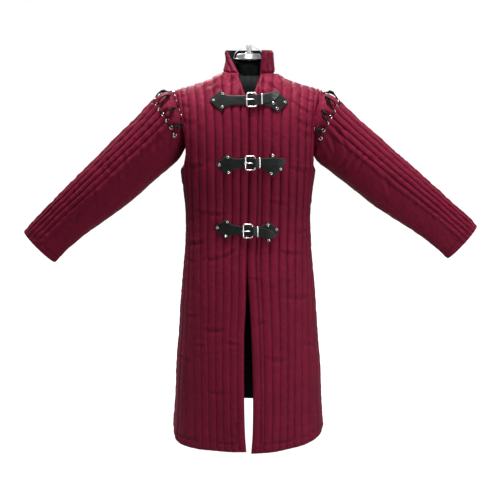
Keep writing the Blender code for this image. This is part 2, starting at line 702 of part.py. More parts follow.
def at_eyelet(table, behind, index):
    """The table's value at an index counted from the front over the shoulder to the back."""
    row = list(table) + [behind(value) for value in reversed(table)]
    return float(np.interp(index, range(len(row)), row))


def lace_lift(index, level):
    return LACE_SEAT + level if index == int(index) else LACE_LIFT


def over_body(side_name, index, share=0.0, past=0.0):
    """A lace's place over the body: on the row of eyelets for a share of 0, at the armhole's edge for 1, and
    past it. The lace lies at an eyelet for a whole index."""
    t = at_eyelet(BODY_EYELETS[side_name], lambda value: 2 - value, index)
    face, t = ("front", t) if t <= 1 else ("back", 2 - t)
    v = CHEST_Z + RISE * min(t, 0.998)
    u = armhole_u(face, side_name, v) - (EYELET_INSET * (1 - share) - past) / PITCH
    return body_point(face, SIDES[side_name], u, v, lace_lift(index, rib(u)))


def over_sleeve(side_name, index, share=0.0, past=0.0):
    """The same over a sleeve and the edge of its head."""
    angle = at_eyelet(SLEEVE_EYELETS, lambda value: -value, index)
    row = curve_through(abs(angle), *SLEEVE_LACING.values())
    lift = lace_lift(index, sleeve_level(angle, False) * NEAR_HEAD) + EDGE_ROOM * share
    return sleeve_point(side_name, row + (head_cut(angle) - row) * share - past, angle, lift)


def strand(side_name, starts_on_body, cross):
    """One of a lace's two strands: it crosses the gap within each pair of eyelets and runs along its edge
    from one pair to the next. cross: how far out it passes the middle of a gap."""
    total = 2 * len(SLEEVE_EYELETS)
    near, far = (over_body, over_sleeve) if starts_on_body else (over_sleeve, over_body)
    route = []
    for index in range(total):
        route.append(near(side_name, index))
        if index + 1 == total:
            break
        if index % 2:
            route.append(near(side_name, index + 0.5))
            continue
        middle = over_sleeve(side_name, index + 0.5, 1, LACE_OVER)
        middle = middle.lerp(over_body(side_name, index + 0.5, 1), 0.4)
        shoulder = surface("front", SIDES[side_name], 6, TOP) - Vector((0, 0, 0.12))
        middle += (middle - shoulder).normalized() * (LACE_BULGE + cross)
        if near is over_sleeve:
            route.append(near(side_name, index + 1 / 6, 0.5))
        route += [near(side_name, index + 1 / 3, 1, LACE_OVER), middle]
        route.append(far(side_name, index + 2 / 3, 1, LACE_OVER))
        if far is over_sleeve:
            route.append(far(side_name, index + 5 / 6, 0.5))
        near, far = far, near
    return route


def smooth_route(route, count):
    """count points on the smooth curve through a route."""
    along = [0.0]
    for a, b in zip(route, route[1:]):
        along.append(along[-1] + (b - a).length)
    axes = [[point[axis] for point in route] for axis in range(3)]
    return [
        Vector(curve_through(along[-1] * k / (count - 1), along, axis) for axis in axes) for k in range(count)
    ]


def make_laces():
    for side_name in SIDES:
        turn = over_sleeve(side_name, 2 * len(SLEEVE_EYELETS) - 1, 1, LACE_OVER)
        route = [*strand(side_name, True, LACE_CROSS), turn, *strand(side_name, False, -LACE_CROSS)[::-1]]
        add_tube("lace_" + side_name, route, LACE_RADIUS, "lace")


# Closures
def front_place(x, z):
    side = 1 if x > curve_through(z, FRONT_EDGES["z"], FRONT_EDGES["left"]) else -1
    u, v = locate("front", side, (x, z), (0, 2), (max(abs(x) / PITCH, 0.1), min(z, TOP - 0.03)))
    return side, u, v


def on_front(x, z, lift):
    """A point over the front, lift above the crests of the channels."""
    side, u, v = front_place(x, z)
    return body_point("front", side, u, v, RIB + lift)


def front_frame(x, z, lift, along):
    """A frame over the front: X as near to `along` as the cloth lets it, Z out of the cloth."""
    side, u, v = front_place(x, z)
    out = normal("front", side, u, v)
    across = out.cross(along).normalized()
    turned = Matrix((across.cross(out), across, out)).transposed().to_4x4()
    return Matrix.Translation(on_front(x, z, lift)) @ turned


def add_strip(name, rows):
    """Leather LEATHER thick. rows: x, z of its middle, half widths above and below, lift of its underside."""
    points = []
    for x, z, above, below, lift in rows:
        upright = math.sqrt(1 - normal("front", *front_place(x, z)).z ** 2)
        for height in (lift, lift + LEATHER):
            points += [on_front(x, z + offset * upright, height) for offset in (above, 0.0, -below)]
    faces = [(0, 1, 4, 3), (1, 2, 5, 4)]
    for row in range(len(rows) - 1):
        a = 6 * row
        for k, m in ((0, 1), (1, 2), (2, 5), (5, 4), (4, 3), (3, 0)):
            faces.append((a + m, a + k, a + 6 + k, a + 6 + m))
    end = 6 * (len(rows) - 1)
    faces += [(end + 3, end + 4, end + 1, end), (end + 4, end + 5, end + 2, end + 1)]
    return add_mesh(name, points, faces, "leather")


def plate_rows(tip, root, lift):
    """Rows of an arrow-shaped end, whose axis runs from its tip towards the root."""
    heading = (Vector(root) - Vector(tip)).normalized()
    rows = []
    for along, above, below in zip(PLATE["along"], PLATE["above"], PLATE["below"]):
        x, z = Vector(tip) + heading * along
        rows.append((x, z, above, below, lift))
    return rows


def make_strap(closure):
    """From the right plate under the frame's roller, over its heel bar and through the keeper."""
    buckle_x, buckle_z = closure["buckle"]
    end_x, end_z = closure["end"]
    low, over_chape = LEATHER_LIFT, LEATHER_LIFT + LEATHER + GAP
    over_bar = over_chape + 2 * BAR + 2 * GAP
    rows = plate_rows(closure["tip"], closure["buckle"], low)
    heel = buckle_x + FRAME_HALF_WIDTH
    rows.append((buckle_x - FRAME_HALF_WIDTH - 0.004, buckle_z, STRAP_HALF, STRAP_HALF, low))
    rows.append((buckle_x - FRAME_HALF_WIDTH + 0.004, buckle_z, STRAP_HALF, STRAP_HALF, low))
    rows.append((heel - 0.003, buckle_z, STRAP_HALF, STRAP_HALF, over_bar))
    rows.append((heel + 0.003, buckle_z, STRAP_HALF, STRAP_HALF, over_bar))
    down = (closure["keeper_x"] - KEEPER_WIDTH / 2 - 0.001 - heel - 0.003) / (end_x - heel - 0.003)
    for share, half in ((down, 1.0), (0.5, 1.0), (0.8, 0.92), (0.93, 0.6), (1.0, 0.15)):
        x = heel + 0.003 + (end_x - heel - 0.003) * share
        z = buckle_z + (end_z - buckle_z) * share ** 1.5
        rows.append((x, z, STRAP_HALF * half, STRAP_HALF * half, over_chape + STRAP_REST))
    strap = add_strip("strap_" + closure["name"], rows)
    hole = add_mesh("hole_" + closure["name"], *box_mesh(0.0045, 0.0022, 0.008), "leather")
    hole.matrix_world = front_frame(heel - 0.0075, buckle_z, over_chape, Vector((1, 0, 0)))
    hole.hide_render = True
    hole.display_type = "WIRE"
    cut = strap.modifiers.new("hole", "BOOLEAN")
    cut.operation = "DIFFERENCE"
    cut.object = hole


def box_mesh(half_x, half_y, half_z):
    points = [
        (x, y, z) for z in (-half_z, half_z) for y in (-half_y, half_y) for x in (-half_x, half_x)
    ]
    faces = [(0, 2, 3, 1), (4, 5, 7, 6), (0, 1, 5, 4), (2, 6, 7, 3), (0, 4, 6, 2), (1, 3, 7, 5)]
    return points, faces


def make_chape(closure):
    buckle_x, buckle_z = closure["buckle"]
    rows = plate_rows(closure["far"], closure["buckle"], LEATHER_LIFT)
    rows.append((closure["keeper_x"], buckle_z, STRAP_HALF, STRAP_HALF, LEATHER_LIFT))
    rows.append((buckle_x + FRAME_HALF_WIDTH - 0.004, buckle_z, STRAP_HALF, STRAP_HALF, LEATHER_LIFT))
    add_strip("chape_" + closure["name"], rows)


def make_frame(closure):
    x, z = closure["buckle"]
    lift = LEATHER_LIFT + LEATHER + GAP + BAR
    points = []
    for corner in range(4):
        turn = corner * math.pi / 2
        cx = (FRAME_HALF_WIDTH - FRAME_CORNER) * (1 if corner in (0, 3) else -1)
        cy = (FRAME_HALF_HEIGHT - FRAME_CORNER) * (1 if corner in (0, 1) else -1)
        for step in range(3):
            angle = turn + step * math.pi / 4
            points.append((cx + FRAME_CORNER * math.cos(angle), cy + FRAME_CORNER * math.sin(angle), 0))
    frame = add_tube("buckle_" + closure["name"], points, BAR, "metal", closed=True, resolution=1)
    frame.matrix_world = front_frame(x, z, lift, Vector((1, 0, 0)))


def make_prong(closure):
    """From beside the heel bar, up through the strap's hole and down onto the roller."""
    x, z = closure["buckle"]
    over_roller = 2 * BAR + PRONG_RADIUS - BAR + GAP
    route = (
        (FRAME_HALF_WIDTH - BAR - PRONG_RADIUS - GAP, -0.0006),
        (FRAME_HALF_WIDTH - 0.0078, 0.0050),
        (0.0, over_roller + 0.0016),
        (-FRAME_HALF_WIDTH, over_roller),
        (-FRAME_HALF_WIDTH - 0.0042, over_roller - 0.0012),
    )
    points = [(px, 0.0, pz) for px, pz in route]
    prong = add_tube("prong_" + closure["name"], points, PRONG_RADIUS, "metal", resolution=1)
    lift = LEATHER_LIFT + LEATHER + GAP + BAR
    prong.matrix_world = front_frame(x, z, lift, Vector((1, 0, 0)))


def make_keeper(closure):
    """A metal staple over the strap, its feet on the chape."""
    x = closure["keeper_x"]
    z = closure["buckle"][1] + (closure["end"][1] - closure["buckle"][1]) * 0.12
    foot = GAP
    inner = LEATHER + STRAP_REST + 3 * GAP + 0.0009
    half = STRAP_HALF + 0.0012
    thick = KEEPER_THICKNESS
    outline = (
        (-half - thick, foot), (-half, foot), (-half, inner), (half, inner),
        (half, foot), (half + thick, foot), (half + thick, inner + thick), (-half - thick, inner + thick),
    )
    count = len(outline)
    points = [(px, py, pz) for px in (-KEEPER_WIDTH / 2, KEEPER_WIDTH / 2) for py, pz in outline]
    faces = [(k, (k + 1) % count, (k + 1) % count + count, k + count) for k in range(count)]
    for base, order in ((0, -1), (count, 1)):
        for quad in ((0, 1, 2, 7), (2, 3, 6, 7), (3, 4, 5, 6)):
            faces.append(tuple(base + k for k in quad[::order]))
    keeper = add_mesh("keeper_" + closure["name"], points, faces, "metal")
    keeper.matrix_world = front_frame(x, z, LEATHER_LIFT + LEATHER, Vector((1, 0, 0)))


def make_rivets(closure):
    for index, (x, z) in enumerate(closure["rivets"]):
        radii = [RIVET_RADIUS, RIVET_RADIUS, RIVET_RADIUS * 0.6]
        heights = [GAP, GAP + RIVET_HEIGHT * 0.35, GAP + RIVET_HEIGHT]
        rivet = add_turned(f"rivet_{closure['name']}_{index + 1}", radii, heights, 8, "metal")
        rivet.matrix_world = front_frame(x, z, LEATHER_LIFT + LEATHER, Vector((1, 0, 0)))


# Form
def form_ring(t, depth):
    """A ring inside the lining at share t of the way from the chest to the shoulder seam."""
    v = CHEST_Z + RISE * t
    turns = [("front", u) for u in range(-10, 11, 2)] + [("back", 12)]
    turns += [("back", u) for u in range(10, -11, -2)] + [("back", -12)]
    lift = -WALL - LINING_GAP - LINING - FORM_GAP - depth
    return [body_point(face, 1 if u >= 0 else -1, abs(u), v, lift) for face, u in turns]


def make_form():
    points = []
    for t, depth in zip(FORM_ROWS["t"], FORM_ROWS["depth"]):
        points += form_ring(t, depth)
    count = len(points) // len(FORM_ROWS["t"])
    faces = grid_faces(len(FORM_ROWS["t"]), count, 0, True)
    half = count // 2 - 1  # columns in front, and the same behind, with one at each end
    for start, order in ((0, -1), (len(points) - count, 1)):
        for k in range(half - 1):
            quad = (start + k, start + k + 1, start + count - 3 - k, start + count - 2 - k)
            faces.append(quad[::order])
        faces.append((start + half - 1, start + half, start + half + 1)[::order])
        faces.append((start + count - 2, start + count - 1, start)[::order])
    form = add_mesh("form_shoulders", points, faces, "form")
    neck = add_turned("form_neck", NECK["r"], NECK["z"], 20, "form")
    neck.hide_render = True
    neck.display_type = "WIRE"
    union = form.modifiers.new("neck", "BOOLEAN")
    union.operation = "UNION"
    union.solver = "MANIFOLD"
    union.object = neck
    add_turned("form_cap", CAP["r"], CAP["z"], 20, "cap")
    add_turned("form_post", (POST_RADIUS, POST_RADIUS), (CAP["z"][-1] + GAP, 0.0), 16, "metal")
    for side_name, side in SIDES.items():
        route = [Vector((side * x, 0, z)) for x, z in zip(WIRE["x"], WIRE["z"])]
        add_tube("form_wire_" + side_name, smooth_route(route, 12), WIRE_RADIUS, "metal", resolution=1)


def main():
    for obj in list(bpy.data.objects):
        bpy.data.objects.remove(obj)
    make_body()
    make_collar()
    make_sleeves()
    make_laces()
    for closure in CLOSURES:
        make_strap(closure)
        make_chape(closure)
        make_frame(closure)
        make_prong(closure)
        make_keeper(closure)
        make_rivets(closure)
    make_form()


main()
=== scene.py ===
"""Gambeson on a hanging shoulder form: a quilted burgundy coat with laced-on sleeves and buckled closures.

Metres, +Z up, the front faces -Y. "right" and "left" in a name are the wearer's: the right side lies at -X.
Every panel is worked out on the coat's own surface, in channels across (u) and height (v), then moved out
by its quilting, puckers, creases and hems.
"""
import functools
import json
import math

import bpy
import numpy as np
from mathutils import Matrix, Vector
from mathutils.geometry import delaunay_2d_cdt

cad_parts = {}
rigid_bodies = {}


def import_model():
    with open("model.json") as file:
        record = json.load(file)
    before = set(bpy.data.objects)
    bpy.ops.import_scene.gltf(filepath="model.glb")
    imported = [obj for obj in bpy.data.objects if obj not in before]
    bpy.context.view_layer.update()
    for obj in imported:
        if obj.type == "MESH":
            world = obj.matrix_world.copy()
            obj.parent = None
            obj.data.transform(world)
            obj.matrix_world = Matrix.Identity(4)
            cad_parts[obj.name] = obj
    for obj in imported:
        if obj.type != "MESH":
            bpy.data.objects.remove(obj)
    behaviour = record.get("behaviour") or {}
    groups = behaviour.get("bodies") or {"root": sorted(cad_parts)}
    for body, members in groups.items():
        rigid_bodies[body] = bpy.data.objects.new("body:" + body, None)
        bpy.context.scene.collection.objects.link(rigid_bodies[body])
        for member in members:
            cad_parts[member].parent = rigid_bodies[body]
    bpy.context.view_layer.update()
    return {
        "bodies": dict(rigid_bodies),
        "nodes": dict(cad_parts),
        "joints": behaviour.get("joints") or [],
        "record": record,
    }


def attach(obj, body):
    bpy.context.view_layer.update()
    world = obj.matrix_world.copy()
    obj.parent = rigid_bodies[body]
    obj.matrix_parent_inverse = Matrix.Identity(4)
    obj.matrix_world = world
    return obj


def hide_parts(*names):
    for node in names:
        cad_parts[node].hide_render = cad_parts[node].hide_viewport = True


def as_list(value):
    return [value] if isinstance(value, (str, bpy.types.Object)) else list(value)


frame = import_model()

# Coat
COAT_X = -0.0025
PITCH = 0.0245  # width of a quilted channel
CHANNELS = 12  # channels from the middle to a side seam
STRAIGHT = 7  # how many of them are all of one width
WALL = 0.004
RIB = 0.0048  # how far a channel swells past its stitching
EDGE_RIB = 0.35  # share of that swelling at the edge of a panel
LINING = 0.001
LINING_GAP = 0.0006
SEAM = 0.00005  # from a seam to the edge of a panel beside it

# Heights
CHEST_Z = -0.3
RISE = 0.2  # from the chest up to the shoulder seam, along the height coordinate
TOP = CHEST_Z + RISE
UNDERARM_Z = -0.345
V_BOTTOM_Z = -0.16
SHOULDER_Y = 0.005
SHOULDER_SPREAD = 1.085  # how much it widens from the chest to the shoulder seam
SHOULDER_ROUNDNESS = 2.25

# Level sections of the coat: half width, depth in front and behind, and how square they are
BODY = dict(
    z=(-1.175, -1.05, -0.94, -0.845, -0.75, -0.655, -0.59, -0.53, -0.47, -0.415, -0.355, -0.3),
    half=(0.2355, 0.224, 0.218, 0.2085, 0.2015, 0.1915, 0.1835, 0.18, 0.179, 0.1835, 0.191, 0.1975),
    front=(0.172, 0.165, 0.157, 0.149, 0.141, 0.132, 0.124, 0.119, 0.117, 0.119, 0.122, 0.121),
    back=(0.168, 0.16, 0.152, 0.143, 0.133, 0.121, 0.112, 0.106, 0.105, 0.108, 0.114, 0.119),
    power=(2.3, 2.3, 2.35, 2.4, 2.4, 2.45, 2.5, 2.5, 2.55, 2.6, 2.65, 2.7),
)
# The shoulder seam, and the two front edges
SHOULDER = dict(
    x=(0.0, 0.04, 0.0767, 0.11, 0.14, 0.1685, 0.1973, 0.225),
    z=(-0.056, -0.064, -0.08, -0.099, -0.1095, -0.118, -0.126, -0.138),
)
FRONT_EDGES = dict(
    z=(-1.17, -1.11, -0.984, -0.812, -0.738, -0.6, -0.5, -0.32, -0.16),
    right=(-0.0073, -0.0115, -0.0138, -0.0135, -0.0094, -0.0062, -0.0033, -0.0003, 0.0002),
    left=(0.0065, 0.0105, 0.0114, 0.0064, 0.0024, -0.0054, -0.0027, 0.0003, 0.0008),
)
# Soft standing folds of the skirt: middle and reach in channels, depth at the hem, where it fades out.
SKIRT_FOLDS = dict(
    face=("front", "front", "front", "front", "back", "back", "back"),
    u=(-8.6, -4.0, 5.2, 9.4, -7.0, 0.5, 6.6),
    reach=(2.2, 2.6, 2.8, 2.0, 2.6, 3.0, 2.4),
    depth=(0.007, -0.004, -0.005, 0.006, 0.008, -0.007, 0.008),
    fade_z=(-0.62, -0.7, -0.66, -0.6, -0.62, -0.7, -0.62),
)
# Height of the hem, by channels from the middle
HEM = dict(
    u=(0.0, 4.0, 8.0, 10.5, 12.0),
    front=dict(right=(-1.166, -1.169, -1.172, -1.166, -1.142), left=(-1.171, -1.168, -1.161, -1.14, -1.111)),
    back=dict(right=(-1.139, -1.141, -1.145, -1.145, -1.142), left=(-1.139, -1.138, -1.132, -1.122, -1.111)),
)
# Edge of an armhole, from the shoulder seam down to the underarm
ARMHOLE_FRONT = dict(
    u=(11.0, 9.6, 8.8, 8.2, 7.9, 7.95, 8.65, 10.0, 12.0),
    v=(TOP, -0.183, -0.22, -0.254, -0.285, -0.305, -0.332, -0.343, UNDERARM_Z),
)
ARMHOLE_BACK = dict(
    u=(11.0, 10.2, 9.4, 8.75, 8.4, 8.5, 9.1, 10.3, 12.0),
    v=(TOP, -0.18, -0.22, -0.26, -0.3, -0.312, -0.334, -0.343, UNDERARM_Z),
)
ARMHOLE_WIDTH = dict(front=dict(right=1.0, left=0.83), back=dict(right=1.0, left=1.06))

# Stitched lines between the channels, in channels from the middle
QUILT_LINES = dict(
    front_right=(0.0, 0.92, 1.85, 2.83, 3.75, 4.74, 5.72, 6.76, 7.8, 8.85, 9.9, 10.95, 12.0),
    front_left=(0.0, 1.0, 1.5, 2.55, 3.62, 4.65, 5.68, 6.76, 7.8, 8.85, 9.9, 10.95, 12.0),
    back=tuple(float(k) for k in range(-12, 13)),
)
# Points across a channel, as shares of its width, and from row to row
CHANNEL_STEPS = (0.0, 0.05, 0.12, 0.21, 0.33, 0.5, 0.67, 0.79, 0.88, 0.95)
ROW_STEP, LOWEST_ROW = 0.0045, -1.168
FINE_SCALE, PLAIN_SCALE = 38.0, 30.0  # channels that a metre of height counts for, in filling a panel

# Relief of the quilting
RIB_UNEVEN, CREST_WANDER = 0.16, 0.06
ARCH_ROUND, ARCH_FULL = 2.1, 0.72
PUCKER, PUCKER_NEAR, PUCKER_FAR = 0.00125, 0.0012, 0.0075  # its height, and where it rises and dies away
GROOVE, GROOVE_WIDTH = 0.0006, 0.0011
EDGE_TURN, EDGE_TURN_WIDTH = 0.0014, 0.0035  # how an edge rounds down
# How far the painted shade spreads from each stitched line
SHADE_WIDTH = 0.0026

# Lines of stitching: how far each lies from its edge, how deep it sinks and how wide it pulls
HEM_STITCH, NECK_STITCH, END_STITCH, CUFF_STITCH, HEAD_STITCH = 0.027, 0.01, 0.006, 0.021, 0.0045
HEM_SINK, NECK_SINK, END_SINK, CUFF_SINK, HEAD_SINK = 0.002, 0.0013, 0.0012, 0.0016, 0.0008
HEM_PULL, NECK_PULL, END_PULL, CUFF_PULL, HEAD_PULL = 0.0016, 0.0014, 0.0013, 0.0015, 0.0012
STITCH_PITCH, STITCH_LIFT = 0.0046, 0.0001
STITCH_LONG, STITCH_THICK, STITCH_UNEVEN = 0.72, 0.0007, 0.06  # its length is a share of the pitch
PANEL_SEEDS = dict(front_right=11, front_left=41, back=71)
SLEEVE_SEEDS = dict(right=101, left=131)
COLLAR_SEED, LEATHER_SEED, NECK_SEED = 501, 700, 801

# Neck and collar
NECK_HALF, NECK_DEPTH, NECK_X = 0.074, 0.061, 0.002
COLLAR_BASE_X = dict(right=-0.031, left=0.034)
COLLAR_TOP_HALF, COLLAR_TOP_DEPTH = 0.0665, 0.058
COLLAR_TOP_Z = -0.0165
COLLAR_TOP_OPEN = dict(right=78.0, left=36.0)
COLLAR_WALL = 0.0035
COLLAR_UP, COLLAR_IN = 0.0007, 0.0012
COLLAR_TUCK = 0.07  # share of its height by which its foot goes on down inside the neckline
COLLAR_CHANNELS = 16
COLLAR_TALL, COLLAR_ROUND = 0.055, 0.38  # its size laid flat
COLLAR_ROLL_UP, COLLAR_ROLL_OUT = 0.0012, 0.0016  # how far its lining rolls over the top

# Sleeves
SLEEVE = dict(
    a=(-0.05, 0.0, 0.09, 0.18, 0.27, 0.37, 0.43, 0.52, 0.58),
    top=(-0.0005, -0.002, -0.007, -0.009, -0.0105, -0.0125, -0.0145, -0.0165, -0.018),
    bottom=(-0.181, -0.178, -0.174, -0.17, -0.167, -0.157, -0.148, -0.143, -0.1475),
    flatness=(0.88, 0.88, 0.86, 0.81, 0.74, 0.62, 0.54, 0.44, 0.38),
)
SLEEVE_LENGTH = 0.57
SLEEVE_CORNER = dict(right=Vector((-0.26, 0.0, -0.139)), left=Vector((0.247, 0.0, -0.1444)))
SLEEVE_SLOPE = dict(right=math.radians(42.5), left=math.radians(39.5))
SLEEVE_HEAD = dict(
    angle=(0.0, 12.0, 35.0, 60.0, 90.0, 115.0, 150.0, 180.0),
    front=(0.0, -0.002, -0.019, -0.009, 0.01, 0.036, 0.054, 0.088),
    back=(0.0, -0.002, -0.018, -0.006, 0.012, 0.038, 0.056, 0.088),
)
SLEEVE_LACING = dict(angle=(0.0, 60.0, 90.0, 115.0), a=(0.0125, 0.017, 0.025, 0.04))
SLEEVE_LINES = (0.0, 17.5, 34.0, 49.0, 63.0, 76.5, 90.0)  # stitched lines by angle from the top line
SLEEVE_WALL = 0.004
SLEEVE_ROUND = math.radians(1) * 0.075  # metres of cloth for each degree round a sleeve
SLEEVE_ROWS, SLEEVE_INNER_ROWS = 128, 24

# A sleeve's head goes on past its padded edge as one thin layer, tucked in under the armhole's edge.
TUCK = dict(angle=(0.0, 60.0, 110.0, 140.0, 180.0), length=(0.018, 0.02, 0.02, 0.026, 0.024))
TUCK_DEPTH = dict(angle=(0.0, 45.0, 80.0), share=(0.4, 0.65, 1.0))
TUCK_STEPS = (1.0, 0.78, 0.56, 0.36, 0.18, 0.03)  # its rows of points, as shares of its length
TUCK_DIP, TUCK_THICK = 0.0085, 0.0012

# Laces and eyelets
LACE_RADIUS = 0.0018
EYELET_INSET = 0.0125
EYELET_RADIUS, EYELET_HOLE, EYELET_RISE = 0.0055, 0.0028, 0.0009
BODY_EYELETS = dict(
    right=(0.27, 0.378, 0.448, 0.515, 0.597, 0.722, 0.9),
    left=(0.23, 0.33, 0.43, 0.515, 0.61, 0.74, 0.9),
)
SLEEVE_EYELETS = (107.0, 92.0, 78.0, 65.0, 52.0, 38.0, 14.0)
LACE_SEAT, LACE_LIFT = 0.0008, 0.0066
LACE_LOWER_ON_TOP = 0.0028  # how much nearer the cloth the crossing over the shoulder lies
LACE_TOP_LIFT = -0.002  # and the height of its strands beside that crossing
LACE_CROSS, LACE_BULGE, LACE_OVER, EDGE_ROOM = 0.0024, 0.0015, 0.0055, 0.003
KNOT_SIZE = 0.0078
# Free ends of a lace: length, drop, and how they head across the gap and along it
TAILS = ((0.019, 0.006, 0.9, 0.5), (0.015, 0.008, 0.8, -0.7))

# Leather and metal of the closures
LEATHER = 0.0025
LEATHER_LIFT = 0.0014
LEATHER_TOP = LEATHER_LIFT + LEATHER
CREST = 0.0045  # how high the solids' channels stand, which the leather lies on
LEATHER_STEP = 0.0016
STRAP_HALF = 0.0132
GAP = 0.0003
BAR = 0.0018
FRAME_HALF_WIDTH, FRAME_HALF_HEIGHT, FRAME_CORNER = 0.013, 0.019, 0.005
KEEPER_WIDTH, KEEPER_THICKNESS = 0.0035, 0.0013
RIVET_RADIUS, RIVET_HEIGHT = 0.0039, 0.0022
PRONG_RADIUS = 0.0014
STRAP_REST = 0.0003
ROLLER = 1.22  # its thickness, in bars
CLIMB_AT_BAR, CLIMB_AT_HEEL = 0.004, 0.003  # where a strap bends on either side of the frame's two bars
# The arrow-shaped end of a strap: a point, a soft corner, then a hollow curve to the strap's width
PLATE = dict(
    along=(0.0, 0.004, 0.012, 0.022, 0.03, 0.033, 0.0365, 0.042, 0.05, 0.06),
    above=(0.0012, 0.006, 0.0128, 0.0208, 0.0262, 0.0258, 0.0205, 0.0168, 0.0142, 0.0132),
    below=(0.0012, 0.0065, 0.014, 0.0226, 0.0288, 0.0284, 0.0232, 0.019, 0.0153, 0.0134),
)
# The free end of a strap past its keeper: share of the way to the tip, share of the strap's width
STRAP_TIP = ((0.5, 1.0), (0.75, 0.98), (0.84, 0.88), (0.91, 0.68), (0.96, 0.42), (1.0, 0.1))
# A rivet's rounded rim and the hollow in it: shares of its radius and height
RIVET = dict(
    r=(0.96, 1.0, 0.99, 0.92, 0.8, 0.68, 0.58, 0.5, 0.46, 0.4),
    z=(0.0, 0.14, 0.45, 0.8, 0.97, 1.0, 0.88, 0.62, 0.34, 0.22),
)
# By x and z: the plate's tip, the buckle, the chape's far tip, the strap's end, the keeper and the rivets
CLOSURES = [
    dict(name="upper", tip=(-0.1056, -0.1524), buckle=(0.007, -0.1508), far=(0.1059, -0.1572),
         end=(0.0806, -0.1371), keeper_x=0.0344,
         rivets=((-0.0947, -0.1529), (-0.0695, -0.1363), (-0.0711, -0.1696),
                 (0.0964, -0.158), (0.0755, -0.1734), (0.065, -0.1602))),
    dict(name="middle", tip=(-0.0888, -0.3225), buckle=(0.0035, -0.3175), far=(0.095, -0.3302),
         end=(0.1, -0.3148), keeper_x=0.029,
         rivets=((-0.0804, -0.3233), (-0.0572, -0.3014), (-0.0553, -0.3431),
                 (0.0859, -0.3345), (0.0646, -0.2975), (0.0599, -0.3462))),
    dict(name="lower", tip=(-0.0945, -0.5017), buckle=(-0.003, -0.5095), far=(0.0832, -0.5097),
         end=(0.0729, -0.5247), keeper_x=0.0235,
         rivets=((-0.0863, -0.5017), (-0.0591, -0.4837), (-0.0641, -0.5247),
                 (0.076, -0.506), (0.052, -0.4917), (0.0544, -0.5362))),
]

# Form
FORM_GAP = 0.0006
# How deep inside the coat its shoulders lie, by share of the way up from the chest
FORM_ROWS = dict(t=(0.2, 0.4, 0.6, 0.8, 0.91, 0.97), depth=(0.03, 0.018, 0.01, 0.005, 0.0035, 0.0018))
NECK = dict(r=(0.043, 0.043, 0.04, 0.036), z=(-0.12, -0.08, -0.06, -0.051))
CAP = (
    (0.017, -0.0505), (0.029, -0.0488), (0.038, -0.0452), (0.0418, -0.0412), (0.0424, -0.0398),
    (0.0419, -0.0386), (0.04, -0.0377), (0.0372, -0.034), (0.0342, -0.0287), (0.0322, -0.0262),
    (0.0302, -0.0249), (0.016, -0.024), (0.01, -0.0238),
)
POST = (
    (0.011, -0.0237), (0.0112, -0.0215), (0.01, -0.0208), (0.0079, -0.0204), (0.0079, -0.0136),
    (0.0071, -0.0131), (0.0071, -0.0118), (0.008, -0.0112), (0.008, -0.0012), (0.0072, -0.0001),
)
WIRE_RADIUS = 0.0009
WIRE = dict(x=(0.0092, 0.02, 0.033, 0.0405, 0.043), z=(-0.0045, -0.0095, -0.018, -0.0265, -0.039))
SIDES = dict(right=-1, left=1)
MM = 0.001

# Floor, light and camera. Each light: name, place, where it points, size, power
CAMERA_PLACE, CAMERA_TILT, CAMERA_LENS = (0.003, -2.3, -0.042), math.radians(13.495), 57.0
FLOOR_SIZE, FLOOR_LEVEL, FLOOR_SHADE = 30.0, -1.3, 0.28
SKY_LIGHT, SKY_IN_METAL = 0.12, 0.8
LIGHTS = (
    ("key", (-0.05, -0.46, 2.0), (0.0, 0.0, -0.35), 0.8, 92),
    ("fill", (2.2, -2.3, -0.7), (0.0, 0.0, -0.8), 1.2, 36),
    ("back", (-0.6, 2.3, 1.1), (0.0, 0.0, -0.5), 1.4, 38),
)

